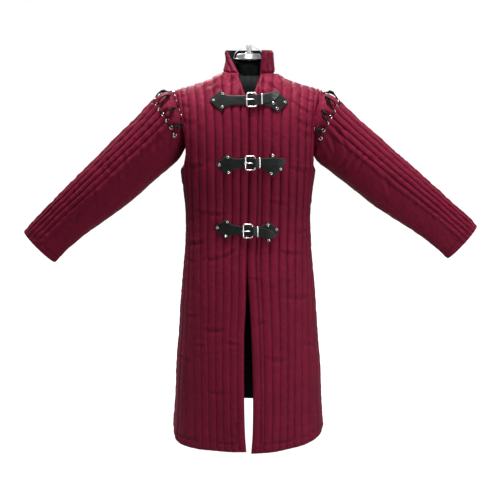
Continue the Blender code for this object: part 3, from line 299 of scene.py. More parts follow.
# Main creases of the cloth, each a trough with a ridge beside it: start and end as channels from the middle
# and height, then depth and half width, all but the channels in millimetres.
PANEL_CREASE_UNITS, SLEEVE_CREASE_UNITS = (1.0, MM, 1.0, MM, MM, MM), (MM, 1.0, MM, 1.0, MM, MM)
CREASES = dict(
    front_left=(
        (4.4, -196, 7.4, -222, -1.6, 4), (5.0, -172, 7.9, -190, -1.4, 3.6), (5.6, -140, 8.6, -158, -1.1, 4),
        (4.8, -235, 7.6, -252, -1.3, 4.5), (3.2, -215, 5.0, -224, -0.9, 4), (5.6, -262, 7.8, -270, -1, 5),
        (4.4, -333, 9.2, -345, -1.7, 6), (6.5, -362, 11.0, -374, -1.3, 5.5), (2.0, -425, 5.4, -436, -0.9, 6),
        (6.8, -455, 11.4, -448, -1.4, 6), (4.6, -520, 9.6, -508, -1.3, 6), (3.0, -566, 7.0, -585, -1.2, 6),
        (0.1, -648, 1.6, -655, -1.2, 4), (0.2, -792, 2.2, -770, -1.3, 4.5), (3.8, -700, 8.4, -716, -0.9, 8),
        (8.0, -640, 11.6, -628, -1.3, 6), (1.4, -880, 4.6, -893, -0.8, 8), (6.4, -850, 10.6, -866, -0.9, 7),
    ),
    front_right=(
        (6.4, -168, 8.8, -160, -1.2, 4), (6.2, -205, 7.9, -196, -1.2, 4), (5.8, -247, 7.8, -236, -0.9, 5),
        (5.0, -325, 7.8, -330, -1.6, 5.5), (7.8, -340, 10.6, -352, -1.4, 5),
        (8.4, -400, 11.4, -386, -1.3, 5.5), (2.2, -462, 6.8, -455, -1.5, 5.5),
        (5.8, -480, 10.4, -494, -1.4, 6), (1.2, -560, 3.0, -590, -2, 5), (2.8, -588, 5.4, -598, -1.3, 5),
        (4.8, -545, 8.6, -560, -1.6, 6), (6.4, -610, 10.2, -600, -1.2, 5), (2.0, -795, 5.6, -802, -1.2, 6),
        (5.4, -760, 8.4, -772, -1.1, 5), (4.8, -846, 7.4, -853, -1.1, 4), (6.6, -905, 9.6, -896, -1.1, 4.5),
        (0.6, -842, 2.4, -838, -0.9, 6), (1.8, -985, 5.2, -990, -0.9, 8),
    ),
    back=(
        (-8.6, -185, -5.2, -214, -1.4, 4.5), (5.4, -200, 8.8, -176, -1.4, 4.5),
        (-7.8, -255, -4.4, -240, -1.2, 5), (4.0, -262, 7.6, -282, -1.2, 5), (-3.6, -150, 2.4, -158, -1, 6),
        (-11.2, -372, -6.0, -352, -1.5, 6), (6.4, -344, 11.4, -366, -1.5, 6),
        (-6.4, -452, 1.0, -470, -1.6, 7), (-1.6, -505, 7.0, -488, -1.5, 7), (5.2, -546, 11.2, -532, -1.4, 6),
        (-11.4, -560, -5.0, -548, -1.4, 6), (-4.4, -610, 3.2, -600, -1.1, 7),
        (-9.8, -742, -5.2, -756, -1.1, 7), (2.6, -780, 8.2, -764, -1.1, 7), (-3.2, -880, 2.2, -868, -0.9, 8),
        (6.2, -930, 10.8, -944, -1, 7), (-10.6, -985, -6.8, -972, -0.9, 7),
    ),
)
# The same for the sleeves, by distance down the sleeve and angle round it
SLEEVE_CREASES = dict(
    right=(
        (30, 94, 85, 128, -1.6, 5), (52, 82, 110, 104, -1.4, 5), (115, 70, 150, 96, -1.4, 4),
        (172, 60, 200, 92, -1.5, 4.5), (215, 78, 262, 108, -1.3, 5), (235, 40, 262, 62, -1.4, 4),
        (300, 66, 335, 98, -1.4, 5), (352, 36, 380, 70, -1.3, 4.5), (390, 84, 440, 122, -1.2, 6),
        (455, 48, 480, 78, -1.2, 4.5), (245, 130, 330, 142, -1.2, 8), (110, 140, 200, 150, -1.2, 8),
        (60, -96, 130, -120, -1.5, 5), (180, -70, 225, -104, -1.5, 5), (280, -60, 330, -100, -1.4, 5),
        (400, -52, 430, -92, -1.3, 5),
    ),
    left=(
        (22, 84, 105, 118, -2.2, 5), (30, 72, 120, 96, -2, 4.5), (34, 62, 118, 80, -1.6, 4),
        (46, 106, 120, 136, -1.4, 6), (132, 70, 150, 122, -2.4, 5), (152, 66, 176, 118, -2, 5),
        (118, 88, 128, 132, -1.6, 4.5), (185, 52, 232, 86, -1.6, 5), (240, 82, 300, 112, -1.4, 6),
        (285, 50, 325, 88, -1.5, 5), (360, 62, 395, 96, -1.2, 5.5), (440, 58, 470, 100, -1.2, 6),
        (255, 124, 350, 140, -1, 8), (60, -90, 140, -118, -1.6, 5), (150, -62, 170, -114, -1.8, 5),
        (270, -60, 320, -98, -1.4, 5), (390, -56, 430, -96, -1.2, 5),
    ),
)


# Small tools
def blend(t):
    """A soft step from 0 to 1."""
    t = np.clip(t, 0.0, 1.0)
    return t * t * (3 - 2 * t)


def curve_at(x, xs, ys):
    """The smooth curve through the points (xs, ys), read at each x."""
    xs, ys = np.asarray(xs, float), np.asarray(ys, float)
    x = np.clip(np.asarray(x, float), xs[0], xs[-1])
    i = np.clip(np.searchsorted(xs, x) - 1, 0, len(xs) - 2)
    k = np.arange(len(xs))
    low, high = np.maximum(k - 1, 0), np.minimum(k + 1, len(xs) - 1)
    slope = (ys[high] - ys[low]) / (xs[high] - xs[low])
    h = xs[i + 1] - xs[i]
    t = (x - xs[i]) / h
    return (
        (1 + 2 * t) * (1 - t) ** 2 * ys[i]
        + t * (1 - t) ** 2 * h * slope[i]
        + t * t * (3 - 2 * t) * ys[i + 1]
        + t * t * (t - 1) * h * slope[i + 1]
    )


def smooth_line(points, steps):
    """Points on a smooth curve through a list of points, `steps` for each stretch."""
    points = np.asarray(points, float)
    index = np.arange(len(points))
    places = np.linspace(0, len(points) - 1, (len(points) - 1) * steps + 1)
    return np.stack([curve_at(places, index, points[:, axis]) for axis in range(points.shape[1])], 1)


def even_line(points, step):
    """The same polyline with points about `step` apart, its ends kept."""
    points = np.asarray(points, float)
    along = np.concatenate([[0], np.cumsum(np.linalg.norm(np.diff(points, axis=0), axis=1))])
    count = max(int(round(along[-1] / step)), 1)
    places = np.linspace(0, along[-1], count + 1)
    return np.stack([np.interp(places, along, points[:, axis]) for axis in range(points.shape[1])], 1)


def noise(x, y, seed):
    """Smooth noise from -1 to 1 whose cells are one unit wide."""
    cells = np.random.default_rng(seed).uniform(-1, 1, (97, 89))
    x, y = np.broadcast_arrays(np.asarray(x, float), np.asarray(y, float))
    column, row = np.floor(x).astype(int), np.floor(y).astype(int)
    across, up = blend(x - column), blend(y - row)

    def cell(i, k):
        return cells[(column + i) % 97, (row + k) % 89]

    low = cell(0, 0) * (1 - across) + cell(1, 0) * across
    high = cell(0, 1) * (1 - across) + cell(1, 1) * across
    return low * (1 - up) + high * up


def unit(vectors):
    return vectors / np.maximum(np.linalg.norm(vectors, axis=1, keepdims=True), 1e-12)


def crossed(rows, columns):
    """Every row's value with every column's, as two flat arrays."""
    return (grid.ravel() for grid in np.meshgrid(rows, columns, indexing="ij"))


def add_object(name, data):
    made = bpy.data.objects.new(name, data)
    bpy.context.scene.collection.objects.link(made)
    return made


def new_mesh(name, points, faces, finish, smooth_angle=None, uv=None, attributes=()):
    """A mesh object. uv: a place for each point; attributes: name and a value for each point."""
    mesh = bpy.data.meshes.new(name)
    places = [tuple(map(float, point)) for point in points]
    mesh.from_pydata(places, [], [tuple(map(int, face)) for face in faces])
    mesh.shade_smooth()
    if smooth_angle:
        mesh.set_sharp_from_angle(angle=math.radians(smooth_angle))
    if uv is not None:
        corners = np.empty(len(mesh.loops), np.int32)
        mesh.loops.foreach_get("vertex_index", corners)
        layer = mesh.uv_layers.new(name="cut")
        layer.data.foreach_set("uv", np.asarray(uv, np.float32)[corners].ravel())
    for label, values in attributes:
        layer = mesh.attributes.new(label, "FLOAT", "POINT")
        layer.data.foreach_set("value", np.asarray(values, np.float32))
    mesh.materials.append(finish)
    return add_object(name, mesh)


def settle(piece, nodes=()):
    """A finished piece rides on the one body, and stands for the given nodes of the frame."""
    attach(piece, "root")
    if nodes:
        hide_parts(*nodes)
    return piece


def new_piece(name, shape, finish, slot, nodes=(), smooth_angle=50, **more):
    """A finished piece from its points and faces. more: its uv and attributes."""
    return settle(new_mesh(name, *shape, finish, smooth_angle, **more), nodes)


def grid_faces(rows, columns, start=0, closed=False):
    """Quads between rows of points, each `columns` long; closed joins a row's end to its start."""
    row, column = crossed(np.arange(rows - 1), np.arange(columns if closed else columns - 1))
    a = start + row * columns + column
    b = start + row * columns + (column + 1) % columns
    return [tuple(face) for face in np.stack([a, b, b + columns, a + columns], -1)]


def turned_round(faces):
    return [tuple(face)[::-1] for face in faces]


def facing_out(points, faces):
    """The faces, turned round if the closed surface is inside out."""
    points = np.asarray(points, float)
    fans = np.array([(face[0], face[k], face[k + 1]) for face in faces for k in range(1, len(face) - 1)])
    a, b, c = (points[fans[:, k]] for k in range(3))
    volume = np.sum(a * np.cross(b, c))
    return faces if volume > 0 else turned_round(faces)


def tube(route, radius, sides=10, closed=False, taper=None):
    """Points and faces of a round tube along a route, with flat ends."""
    route = np.asarray([tuple(point) for point in route], float)
    count = len(route)
    if closed:
        ahead = unit(np.roll(route, -1, axis=0) - np.roll(route, 1, axis=0))
    else:
        ahead = unit(np.gradient(route, axis=0))
    across = np.empty_like(route)
    start = np.array((0.0, 0.0, 1.0)) if abs(ahead[0][2]) < 0.9 else np.array((0.0, 1.0, 0.0))
    for i in range(count):
        start = start - ahead[i] * np.dot(start, ahead[i])
        start = start / np.linalg.norm(start)
        across[i] = start
    other = np.cross(ahead, across)
    turn = np.linspace(0, 2 * math.pi, sides, endpoint=False)
    radii = radius * (np.ones(count) if taper is None else np.asarray(taper))
    ring = np.cos(turn)[None, :, None] * across[:, None] + np.sin(turn)[None, :, None] * other[:, None]
    points = (route[:, None] + ring * radii[:, None, None]).reshape(-1, 3)
    faces = grid_faces(count, sides, 0, True)
    if closed:
        last = (count - 1) * sides
        faces += [(last + k, last + (k + 1) % sides, (k + 1) % sides, k) for k in range(sides)]
    else:
        faces += [tuple(range(sides))[::-1], tuple(range((count - 1) * sides, count * sides))]
    return points, faces


def joined(shapes):
    """Several shapes' points and faces as one."""
    points, faces, start = [], [], 0
    for shape_points, shape_faces in shapes:
        points.append(np.asarray(shape_points, float))
        faces += [tuple(start + i for i in face) for face in shape_faces]
        start += len(shape_points)
    return np.concatenate(points), faces


# The coat's surface
@functools.lru_cache(maxsize=None)
def quarter(face, z):
    """One quarter of the level section at height z: x, depth and length along it from the middle."""
    half, depth, power = (float(curve_at(z, BODY["z"], BODY[key])) for key in ("half", face, "power"))
    turn = np.linspace(0, math.pi / 2, 181)
    x = half * np.sin(turn) ** (2 / power)
    y = depth * np.cos(turn) ** (2 / power)
    along = np.concatenate([[0], np.cumsum(np.hypot(np.diff(x), np.diff(y)))])
    return x, y, along


def edge_offset(side, z):
    """How far the front edge lies from the coat's middle, towards its own side."""
    right, left = (curve_at(z, FRONT_EDGES["z"], FRONT_EDGES[name]) for name in SIDES)
    return side * (np.where(side < 0, right, left) - COAT_X)


def each_level(z):
    """The values' places in groups of one height."""
    rounded = np.round(z, 4)
    order = np.argsort(rounded, kind="stable")
    levels, starts = np.unique(rounded[order], return_index=True)
    return zip(levels, np.split(order, starts[1:]))


def surface(behind, side, u, v):
    """Points of the stitching's level, u channels from the middle and at height coordinate v."""
    behind, side, u, v = np.broadcast_arrays(*(np.atleast_1d(values) for values in (behind, side, u, v)))
    u, v = u.astype(float), v.astype(float)
    over, past = u > CHANNELS, v > TOP
    behind = behind.astype(bool) ^ over ^ past
    u = np.where(over, 2 * CHANNELS - u, u)
    v = np.where(past, 2 * TOP - v, v)
    level = np.minimum(v, CHEST_Z)
    start = np.where(behind, 0.0, edge_offset(side, level))
    straight = STRAIGHT * PITCH
    x, depth = np.empty(u.shape), np.empty(u.shape)
    for face, chosen in (("front", np.nonzero(~behind)[0]), ("back", np.nonzero(behind)[0])):
        for z, members in each_level(level[chosen]):
            members = chosen[members]
            xs, ys, along = quarter(face, z)
            reach = np.where(
                u[members] <= STRAIGHT,
                start[members] + u[members] * (straight - start[members]) / STRAIGHT,
                straight + (u[members] - STRAIGHT) / (CHANNELS - STRAIGHT) * (along[-1] - straight),
            )
            x[members] = np.copysign(np.interp(np.abs(reach), along, xs), reach)
            depth[members] = np.interp(np.abs(reach), along, ys)
    y = np.where(behind, depth, -depth)
    t = np.clip((v - CHEST_Z) / RISE, 0, 1)
    x = side * x * (1 + (SHOULDER_SPREAD - 1) * blend(t))
    seam_z = curve_at(np.abs(x), *SHOULDER.values())
    closing = np.sin(t * math.pi / 2) ** (2 / SHOULDER_ROUNDNESS)
    z = np.where(v > CHEST_Z, CHEST_Z + (seam_z - CHEST_Z) * closing, v)
    y = y + (SHOULDER_Y - y) * (1 - np.cos(t * math.pi / 2) ** (2 / SHOULDER_ROUNDNESS))
    return np.stack([COAT_X + x, y, z], 1)


def normal(behind, side, u, v):
    """The outward directions there."""
    across = surface(behind, side, u + 0.06, v) - surface(behind, side, u - 0.06, v)
    up = surface(behind, side, u, v + 0.003) - surface(behind, side, u, v - 0.003)
    out = unit(np.cross(across, up))
    here = surface(behind, side, u, v)
    core = np.stack([COAT_X + 0.5 * (here[:, 0] - COAT_X), np.zeros(len(here)), here[:, 2] - 0.05], 1)
    return out * np.where(np.sum(out * (here - core), 1) > 0, 1, -1)[:, None]


def fold_lift(behind, side, u, v):
    """How far the skirt's soft folds stand out."""
    lift = np.zeros(np.broadcast(u, v).shape)
    for face, middle, reach, depth, fade_z in zip(*SKIRT_FOLDS.values()):
        away = np.abs(side * u - middle) / reach
        there = (behind == (face == "back")) & (away < 1)
        lift += np.where(there, depth * blend((fade_z - v) / 0.5) * np.cos(away * math.pi / 2) ** 2, 0)
    return lift


def bed(behind, side, u, v):
    """Base points and outward directions at panel coordinates, on the skirt's soft folds."""
    u, v = np.atleast_1d(u), np.atleast_1d(v)
    out = normal(behind, side, u, v)
    return surface(behind, side, u, v) + out * fold_lift(behind, side, u, v)[:, None], out


def locate(behind, side, targets, axes, u, v):
    """The panel coordinates whose surface points have the targets' values on two world axes."""
    u, v = np.array(u, float), np.array(v, float)
    for _ in range(24):
        here = surface(behind, side, u, v)
        miss = targets - here[:, axes]
        if np.abs(miss).max() < 2e-6:
            break
        by_u = (surface(behind, side, u + 0.01, v) - here)[:, axes] / 0.01
        by_v = (surface(behind, side, u, v + 0.001) - here)[:, axes] / 0.001
        spread = by_u[:, 0] * by_v[:, 1] - by_u[:, 1] * by_v[:, 0]
        spread = np.where(np.abs(spread) < 1e-9, 1e-9, spread)
        u += np.clip((miss[:, 0] * by_v[:, 1] - miss[:, 1] * by_v[:, 0]) / spread, -0.5, 0.5)
        v += np.clip((by_u[:, 0] * miss[:, 1] - by_u[:, 1] * miss[:, 0]) / spread, -0.02, 0.02)
        v = np.minimum(v, TOP - 0.0001)
    return u, v


# Outlines of the coat's panels, in panel coordinates
def neck_plan(angle):
    """World x and y of the neck hole, by angle from the front towards +X."""
    x = COAT_X + NECK_X + NECK_HALF * np.sin(angle)
    return x, SHOULDER_Y - NECK_DEPTH * np.cos(angle)


def neck_place(angle):
    """The same places on the panels: behind or not, side, u and v."""
    x, y = neck_plan(angle)
    behind, side = y >= SHOULDER_Y, np.where(x > COAT_X, 1, -1)
    guess = np.abs(x - COAT_X) / PITCH, np.full(len(x), TOP - 0.04)
    u, v = locate(behind, side, np.stack([x, y], 1), (0, 1), *guess)
    return behind, side, u, v


def collar_base_angle(side_name):
    return math.asin((COLLAR_BASE_X[side_name] - COAT_X - NECK_X) / NECK_HALF)


def seam_u(side):
    """Where the neck hole crosses the shoulder seam."""
    return (NECK_HALF + side * NECK_X) / SHOULDER_SPREAD / PITCH


def armhole_edge(face, side_name):
    """The armhole's edge from the shoulder seam down."""
    table = ARMHOLE_FRONT if face == "front" else ARMHOLE_BACK
    width = ARMHOLE_WIDTH[face][side_name]
    return [(CHANNELS - (CHANNELS - u) * width, v) for u, v in zip(*table.values())]


def up_run(u, low, high):
    count = max(int(round(abs(high - low) / ROW_STEP)), 1)
    return np.stack([np.full(count + 1, u), np.linspace(low, high, count + 1)], 1)


def armhole_run(face, side_name, rim):
    """The armhole's edge from the underarm up to the shoulder seam."""
    edge = armhole_edge(face, side_name)
    edge[0] = (edge[0][0], TOP - SEAM)
    edge[-1] = (rim, UNDERARM_Z)
    return smooth_line(edge[::-1], 9)


def columns_of(lines):
    """Places of the points across a panel: CHANNEL_STEPS within each channel."""
    places = [low + (high - low) * step for low, high in zip(lines, lines[1:]) for step in CHANNEL_STEPS]
    return np.array(places + [lines[-1]])


def loop_of(runs):
    """Runs of points, one after another round a panel, without the doubled ends."""
    points = [runs[0]]
    for run in runs[1:]:
        points.append(run[1:] if np.allclose(run[0], points[-1][-1], atol=1e-6) else run)
    border = np.concatenate(points)
    return border[:-1] if np.allclose(border[0], border[-1], atol=1e-6) else border


def half_runs(face, side_name, angles):
    """The border of one half in runs: hem, side seam, armhole, shoulder seam and neck."""
    rim = CHANNELS - SEAM / PITCH
    columns = columns_of(QUILT_LINES["back" if face == "back" else "front_" + side_name])
    columns = columns[columns >= 0]
    across = np.append(columns[columns < rim - 0.02], rim)
    hem = np.stack([across, curve_at(across, HEM["u"], HEM[face][side_name])], 1)
    armhole = armhole_run(face, side_name, rim)
    neck_u, arm_u = seam_u(SIDES[side_name]), armhole[-1][0]
    between = columns[(columns > neck_u + 0.03) & (columns < arm_u - 0.03)][::-1]
    top_u = np.concatenate([[arm_u], between, [neck_u]])
    shoulder = np.stack([top_u, np.full(len(top_u), TOP - SEAM)], 1)
    neck = np.stack(neck_place(angles)[2:], 1)
    return [hem, up_run(rim, hem[-1][1], UNDERARM_Z), armhole, shoulder, neck]


def front_outline(side_name):
    """A front's border, with its opening below the collar and its edge."""
    side = SIDES[side_name]
    base = collar_base_angle(side_name)
    share = np.linspace(0, 1, 22)[1:]
    runs = half_runs("front", side_name, side * math.pi / 2 + (base - side * math.pi / 2) * share)
    hem, neck = runs[0], runs[-1]
    foot_z = surface(False, side, *neck[-1])[0][2]
    x_low = float(curve_at(V_BOTTOM_Z, FRONT_EDGES["z"], FRONT_EDGES[side_name]))
    targets = np.stack([
        COLLAR_BASE_X[side_name] + (x_low - COLLAR_BASE_X[side_name]) * share,
        foot_z + (V_BOTTOM_Z - foot_z) * share,
    ], 1)
    guess = neck[-1][0] * (1 - share) + 0.05, neck[-1][1] * (1 - share) - 0.2 * share
    opening = np.stack(locate(False, side, targets, (0, 2), *guess), 1)
    opening[-1][0] = 0.0
    edge = up_run(0.0, opening[-1][1], hem[0][1])
    return loop_of([*runs, opening, edge])


def back_outline():
    """The back's border. Its u is negative on the right side."""
    halves = {}
    for side_name, side in SIDES.items():
        angles = side * math.pi * (0.5 + 0.5 * np.linspace(0, 1, 30)[1:-1])
        halves[side_name] = loop_of(half_runs("back", side_name, angles))
    nape = (0.0, neck_place(np.array([math.pi]))[3][0])
    right = halves["right"][1:] * (-1, 1)
    return np.concatenate([halves["left"], [nape], right[::-1]])


def within(points, outline):
    """Which points lie inside the outline."""
    found = np.zeros(len(points), bool)
    for (u0, v0), (u1, v1) in zip(outline, np.roll(outline, -1, axis=0)):
        if v0 != v1:
            crossing = u0 + (points[:, 1] - v0) / (v1 - v0) * (u1 - u0)
            found ^= ((v0 > points[:, 1]) != (v1 > points[:, 1])) & (points[:, 0] < crossing)
    return found


def distance_to(points, outline, scale):
    """How far each point is from the outline, in channels."""
    stretch = np.array((1.0, scale))
    p, line = points * stretch, outline * stretch
    nearest = np.full(len(points), np.inf)
    for a, b in zip(line, np.roll(line, -1, axis=0)):
        share = np.clip((p - a) @ (b - a) / max(np.dot(b - a, b - a), 1e-12), 0, 1)
        nearest = np.minimum(nearest, np.linalg.norm(p - a - share[:, None] * (b - a), axis=1))
    return nearest


def fill(border, columns, rows, scale, near):
    """Triangles over a border's inside, with points wherever the columns and rows cross."""
    grid = np.stack(list(crossed(columns, rows)), 1)
    grid = grid[within(grid, border)]
    grid = grid[distance_to(grid, border, scale) > near]
    points = np.concatenate([border, grid])
    flat = [Vector((u, v * scale)) for u, v in points]
    found = delaunay_2d_cdt(flat, [], [list(range(len(border)))], 1, 1e-9)
    order = [originals[0] for originals in found[3]]
    return points, [tuple(order[i] for i in face) for face in found[2]]


# Finishes. A pair of colours is the darkest and the brightest that a finish's clouds run between.
CLOTH_COLOURS = (0.13, 0.006, 0.022), (0.2, 0.0105, 0.036)
# CLOTH_SHADE is painted shade, mixed in along the quilted grooves and the stitched lines
CLOTH_FLECK, CLOTH_SHADE = (0.26, 0.023, 0.056), (0.04, 0.002, 0.007)
CLOTH_SHEEN, CLOTH_SHINE = (1.0, 0.08, 0.17, 1), (1.0, 0.14, 0.26, 1)
LINING_COLOURS = (0.0045, 0.0045, 0.005), (0.012, 0.012, 0.013)
THREAD_COLOURS = (0.06, 0.004, 0.014), (0.13, 0.012, 0.032)
LEATHER_COLOURS = (0.0035, 0.0042, 0.004), (0.012, 0.0145, 0.0135)
LEATHER_WORN = (0.125, 0.13, 0.128)
# The lace's brighter colour is a painted highlight on its raised bands
LACE_COLOURS = (0.0035, 0.0033, 0.0033), (0.014, 0.013, 0.013)
NICKEL_COLOURS = (0.62, 0.62, 0.61), (0.88, 0.87, 0.85)
CAP_COLOURS = (0.17, 0.18, 0.19), (0.36, 0.37, 0.39)
FORM_COLOURS = (0.0012, 0.0015, 0.0015), (0.0042, 0.0052, 0.005)


def shader_group(name, inputs, outputs):
    """An empty node group and its two end nodes."""
    tree = bpy.data.node_groups.new(name, "ShaderNodeTree")
    for label, value in inputs:
        socket = tree.interface.new_socket(label, in_out="INPUT", socket_type="NodeSocketFloat")
        socket.default_value = value
    for label in outputs:
        tree.interface.new_socket(label, in_out="OUTPUT", socket_type="NodeSocketFloat")
    return tree, tree.nodes.new("NodeGroupInput"), tree.nodes.new("NodeGroupOutput")


def math_node(tree, operation, first, second=None, clamp=False):
    """The result of one operation on numbers or sockets."""
    node = tree.nodes.new("ShaderNodeMath")
    node.operation, node.use_clamp = operation, clamp
    for slot_index, value in enumerate((first, second)):
        if value is None:
            continue
        if isinstance(value, (int, float)):
            node.inputs[slot_index].default_value = value
        else:
            tree.links.new(value, node.inputs[slot_index])
    return node.outputs[0]


def weave_group():
    """Threads that cross over and under, on the cut's own plan."""
    tree, start, end = shader_group("weave", [("Threads per metre", 900.0)], ["Height"])
    plan = tree.nodes.new("ShaderNodeUVMap")
    plan.uv_map = "cut"
    split = tree.nodes.new("ShaderNodeSeparateXYZ")
    tree.links.new(plan.outputs["UV"], split.inputs[0])
    count = math_node(tree, "MULTIPLY", start.outputs[0], 2 * math.pi)
    warp = math_node(tree, "SINE", math_node(tree, "MULTIPLY", split.outputs[0], count))
    weft = math_node(tree, "SINE", math_node(tree, "MULTIPLY", split.outputs[1], count))
    crossing = math_node(tree, "MULTIPLY", warp, weft)
    tree.links.new(math_node(tree, "MULTIPLY_ADD", crossing, 0.5), end.inputs["Height"])
    return tree


def mottle_group():
    """Cloudy unevenness over the object's own space, from 0 to 1."""
    tree, start, end = shader_group("mottle", [("Size", 0.05), ("Detail", 4.0), ("Contrast", 1.0)], ["Cloud"])
    place = tree.nodes.new("ShaderNodeTexCoord")
    clouds = tree.nodes.new("ShaderNodeTexNoise")
    scale = math_node(tree, "DIVIDE", 1.0, start.outputs["Size"])
    tree.links.new(place.outputs["Object"], clouds.inputs["Vector"])
    tree.links.new(scale, clouds.inputs["Scale"])
    tree.links.new(start.outputs["Detail"], clouds.inputs["Detail"])
    centred = math_node(tree, "SUBTRACT", clouds.outputs[0], 0.5)
    spread = math_node(tree, "MULTIPLY", centred, start.outputs["Contrast"])
    tree.links.new(math_node(tree, "ADD", spread, 0.5, True), end.inputs["Cloud"])
    return tree


WEAVE, MOTTLE = weave_group(), mottle_group()


class Finish:
    """A material being made: its tree, its shader and the few nodes that every finish here uses."""

    def __init__(self, name, **constants):
        self.material = bpy.data.materials.new(name)
        self.material.use_nodes = True
        self.tree = self.material.node_tree
        self.add, self.link = self.tree.nodes.new, self.tree.links.new
        self.shader = self.tree.nodes["Principled BSDF"]
        for label, value in constants.items():
            self.shader.inputs[label.replace("_", " ")].default_value = value
        self.bump = None

    def group(self, tree, **values):
        node = self.add("ShaderNodeGroup")
        node.node_tree = tree
        for label, value in values.items():
            node.inputs[label.replace("_", " ")].default_value = value
        return node.outputs[0]

    def attribute(self, label):
        node = self.add("ShaderNodeAttribute")
        node.attribute_name = label
        return node.outputs["Fac"]

    def mix(self, first, second, share):
        """A blend of two colours; each is a colour or a socket."""
        node = self.add("ShaderNodeMix")
        node.data_type = "RGBA"
        sockets = [s for s in node.inputs if s.type == "RGBA"]
        for socket, value in zip(sockets, (first, second)):
            if isinstance(value, tuple):
                socket.default_value = (*value, 1)
            else:
                self.link(value, socket)
        self.link(share, node.inputs["Factor"])
        return [s for s in node.outputs if s.type == "RGBA"][0]

    def spread(self, share, low, high):
        """A value from 0 to 1, mapped to a range."""
        node = self.add("ShaderNodeMapRange")
        self.link(share, node.inputs["Value"])
        node.inputs["To Min"].default_value, node.inputs["To Max"].default_value = low, high
        return node.outputs["Result"]

    def pattern(self, kind, scale):
        """A texture over the object's own space."""
        node = self.add(kind)
        place = self.add("ShaderNodeTexCoord")
        node.inputs["Scale"].default_value = scale
        self.link(place.outputs["Object"], node.inputs["Vector"])
        return node

    def feed(self, label, socket):
        self.link(socket, self.shader.inputs[label])

    def raise_by(self, height, distance, strength=1.0):
        """Adds a relief: heights of 0 to 1 that stand `distance` metres high."""
        node = self.add("ShaderNodeBump")
        node.inputs["Distance"].default_value = distance
        node.inputs["Strength"].default_value = strength
        self.link(height, node.inputs["Height"])
        if self.bump:
            self.link(self.bump, node.inputs["Normal"])
        self.bump = node.outputs["Normal"]
        self.link(self.bump, self.shader.inputs["Normal"])


def make_cloth():
    """Woven cloth with a sheen, unevenly dyed, with painted shade in its grooves and along its stitched
    lines.
    """
    finish = Finish("burgundy cloth", Sheen_Weight=0.16, Sheen_Roughness=0.35, Specular_IOR_Level=0.34)
    finish.shader.inputs["Sheen Tint"].default_value = CLOTH_SHEEN
    finish.shader.inputs["Specular Tint"].default_value = CLOTH_SHINE
    cloud = finish.group(MOTTLE, Size=0.07, Detail=6.0, Contrast=1.5)
    fleck = finish.group(MOTTLE, Size=0.0035, Detail=2.0, Contrast=1.4)
    dyed = finish.mix(*CLOTH_COLOURS, cloud)
    dyed = finish.mix(dyed, CLOTH_FLECK, finish.spread(fleck, 0.0, 0.3))
    # Painted shade: the cloth is darker in its grooves and along its stitched lines
    shaded = finish.mix(dyed, CLOTH_SHADE, finish.spread(finish.attribute("painted_groove_shade"), 0.0, 0.5))
    finish.feed("Base Color", shaded)
    finish.feed("Roughness", finish.spread(cloud, 0.42, 0.58))
    finish.raise_by(finish.group(MOTTLE, Size=0.011, Detail=5.0, Contrast=1.3), 0.0024, 0.6)
    finish.raise_by(finish.group(WEAVE, Threads_per_metre=1100.0), 0.00022, 0.5)
    return finish.material


def make_clouded(name, colours, roughness, relief, cloud, **constants):
    """A finish that follows one mottle. cloud: its size, detail and contrast."""
    finish = Finish(name, **constants)
    size, detail, contrast = cloud
    mottle = finish.group(MOTTLE, Size=size, Detail=detail, Contrast=contrast)
    finish.feed("Base Color", finish.mix(*colours, mottle))
    finish.feed("Roughness", finish.spread(mottle, *roughness))
    finish.raise_by(mottle, *relief)
    return finish.material


def make_leather():
    """Grained leather whose edges and worn places show grey."""
    finish = Finish("black leather", Specular_IOR_Level=0.22)
    cells = finish.pattern("ShaderNodeTexVoronoi", 900.0)
    cloud = finish.group(MOTTLE, Size=0.016, Detail=6.0, Contrast=1.7)
    scuff = finish.group(MOTTLE, Size=0.0045, Detail=5.0, Contrast=2.6)
    worn = math_node(finish.tree, "MULTIPLY", finish.attribute("wear"), scuff, True)
    dyed = finish.mix(*LEATHER_COLOURS, cloud)
    finish.feed("Base Color", finish.mix(dyed, LEATHER_WORN, worn))
    finish.feed("Roughness", finish.spread(cloud, 0.34, 0.52))
    finish.raise_by(cloud, 0.0008, 0.35)
    finish.raise_by(cells.outputs["Distance"], 0.00022, 0.55)
    return finish.material


def make_lace():
    """A braided cord: slanting bands that stand up and catch the light, with a painted highlight on them."""
    finish = Finish("black lace", Specular_IOR_Level=0.12)
    braid = finish.pattern("ShaderNodeTexWave", 260.0)
    braid.wave_type, braid.bands_direction = "BANDS", "DIAGONAL"
    braid.inputs["Distortion"].default_value = 3.0
    bands = braid.outputs["Fac"]
    # Painted highlight: the raised bands are coloured lighter than the cord between them
    finish.feed("Base Color", finish.mix(*LACE_COLOURS, bands))
    finish.feed("Roughness", finish.spread(bands, 0.75, 0.55))
    finish.raise_by(bands, 0.0003, 0.6)
    return finish.material


def make_metal(name, colours, roughness):
    """Handled metal with fine scratches."""
    finish = Finish(name, Metallic=1.0)
    cloud = finish.group(MOTTLE, Size=0.012, Detail=5.0, Contrast=1.8)
    scratch = finish.group(MOTTLE, Size=0.0016, Detail=3.0, Contrast=1.6)
    finish.feed("Base Color", finish.mix(*colours, cloud))
    finish.feed("Roughness", finish.spread(scratch, *roughness))
    finish.raise_by(cloud, 0.0004, 0.25)
    return finish.material


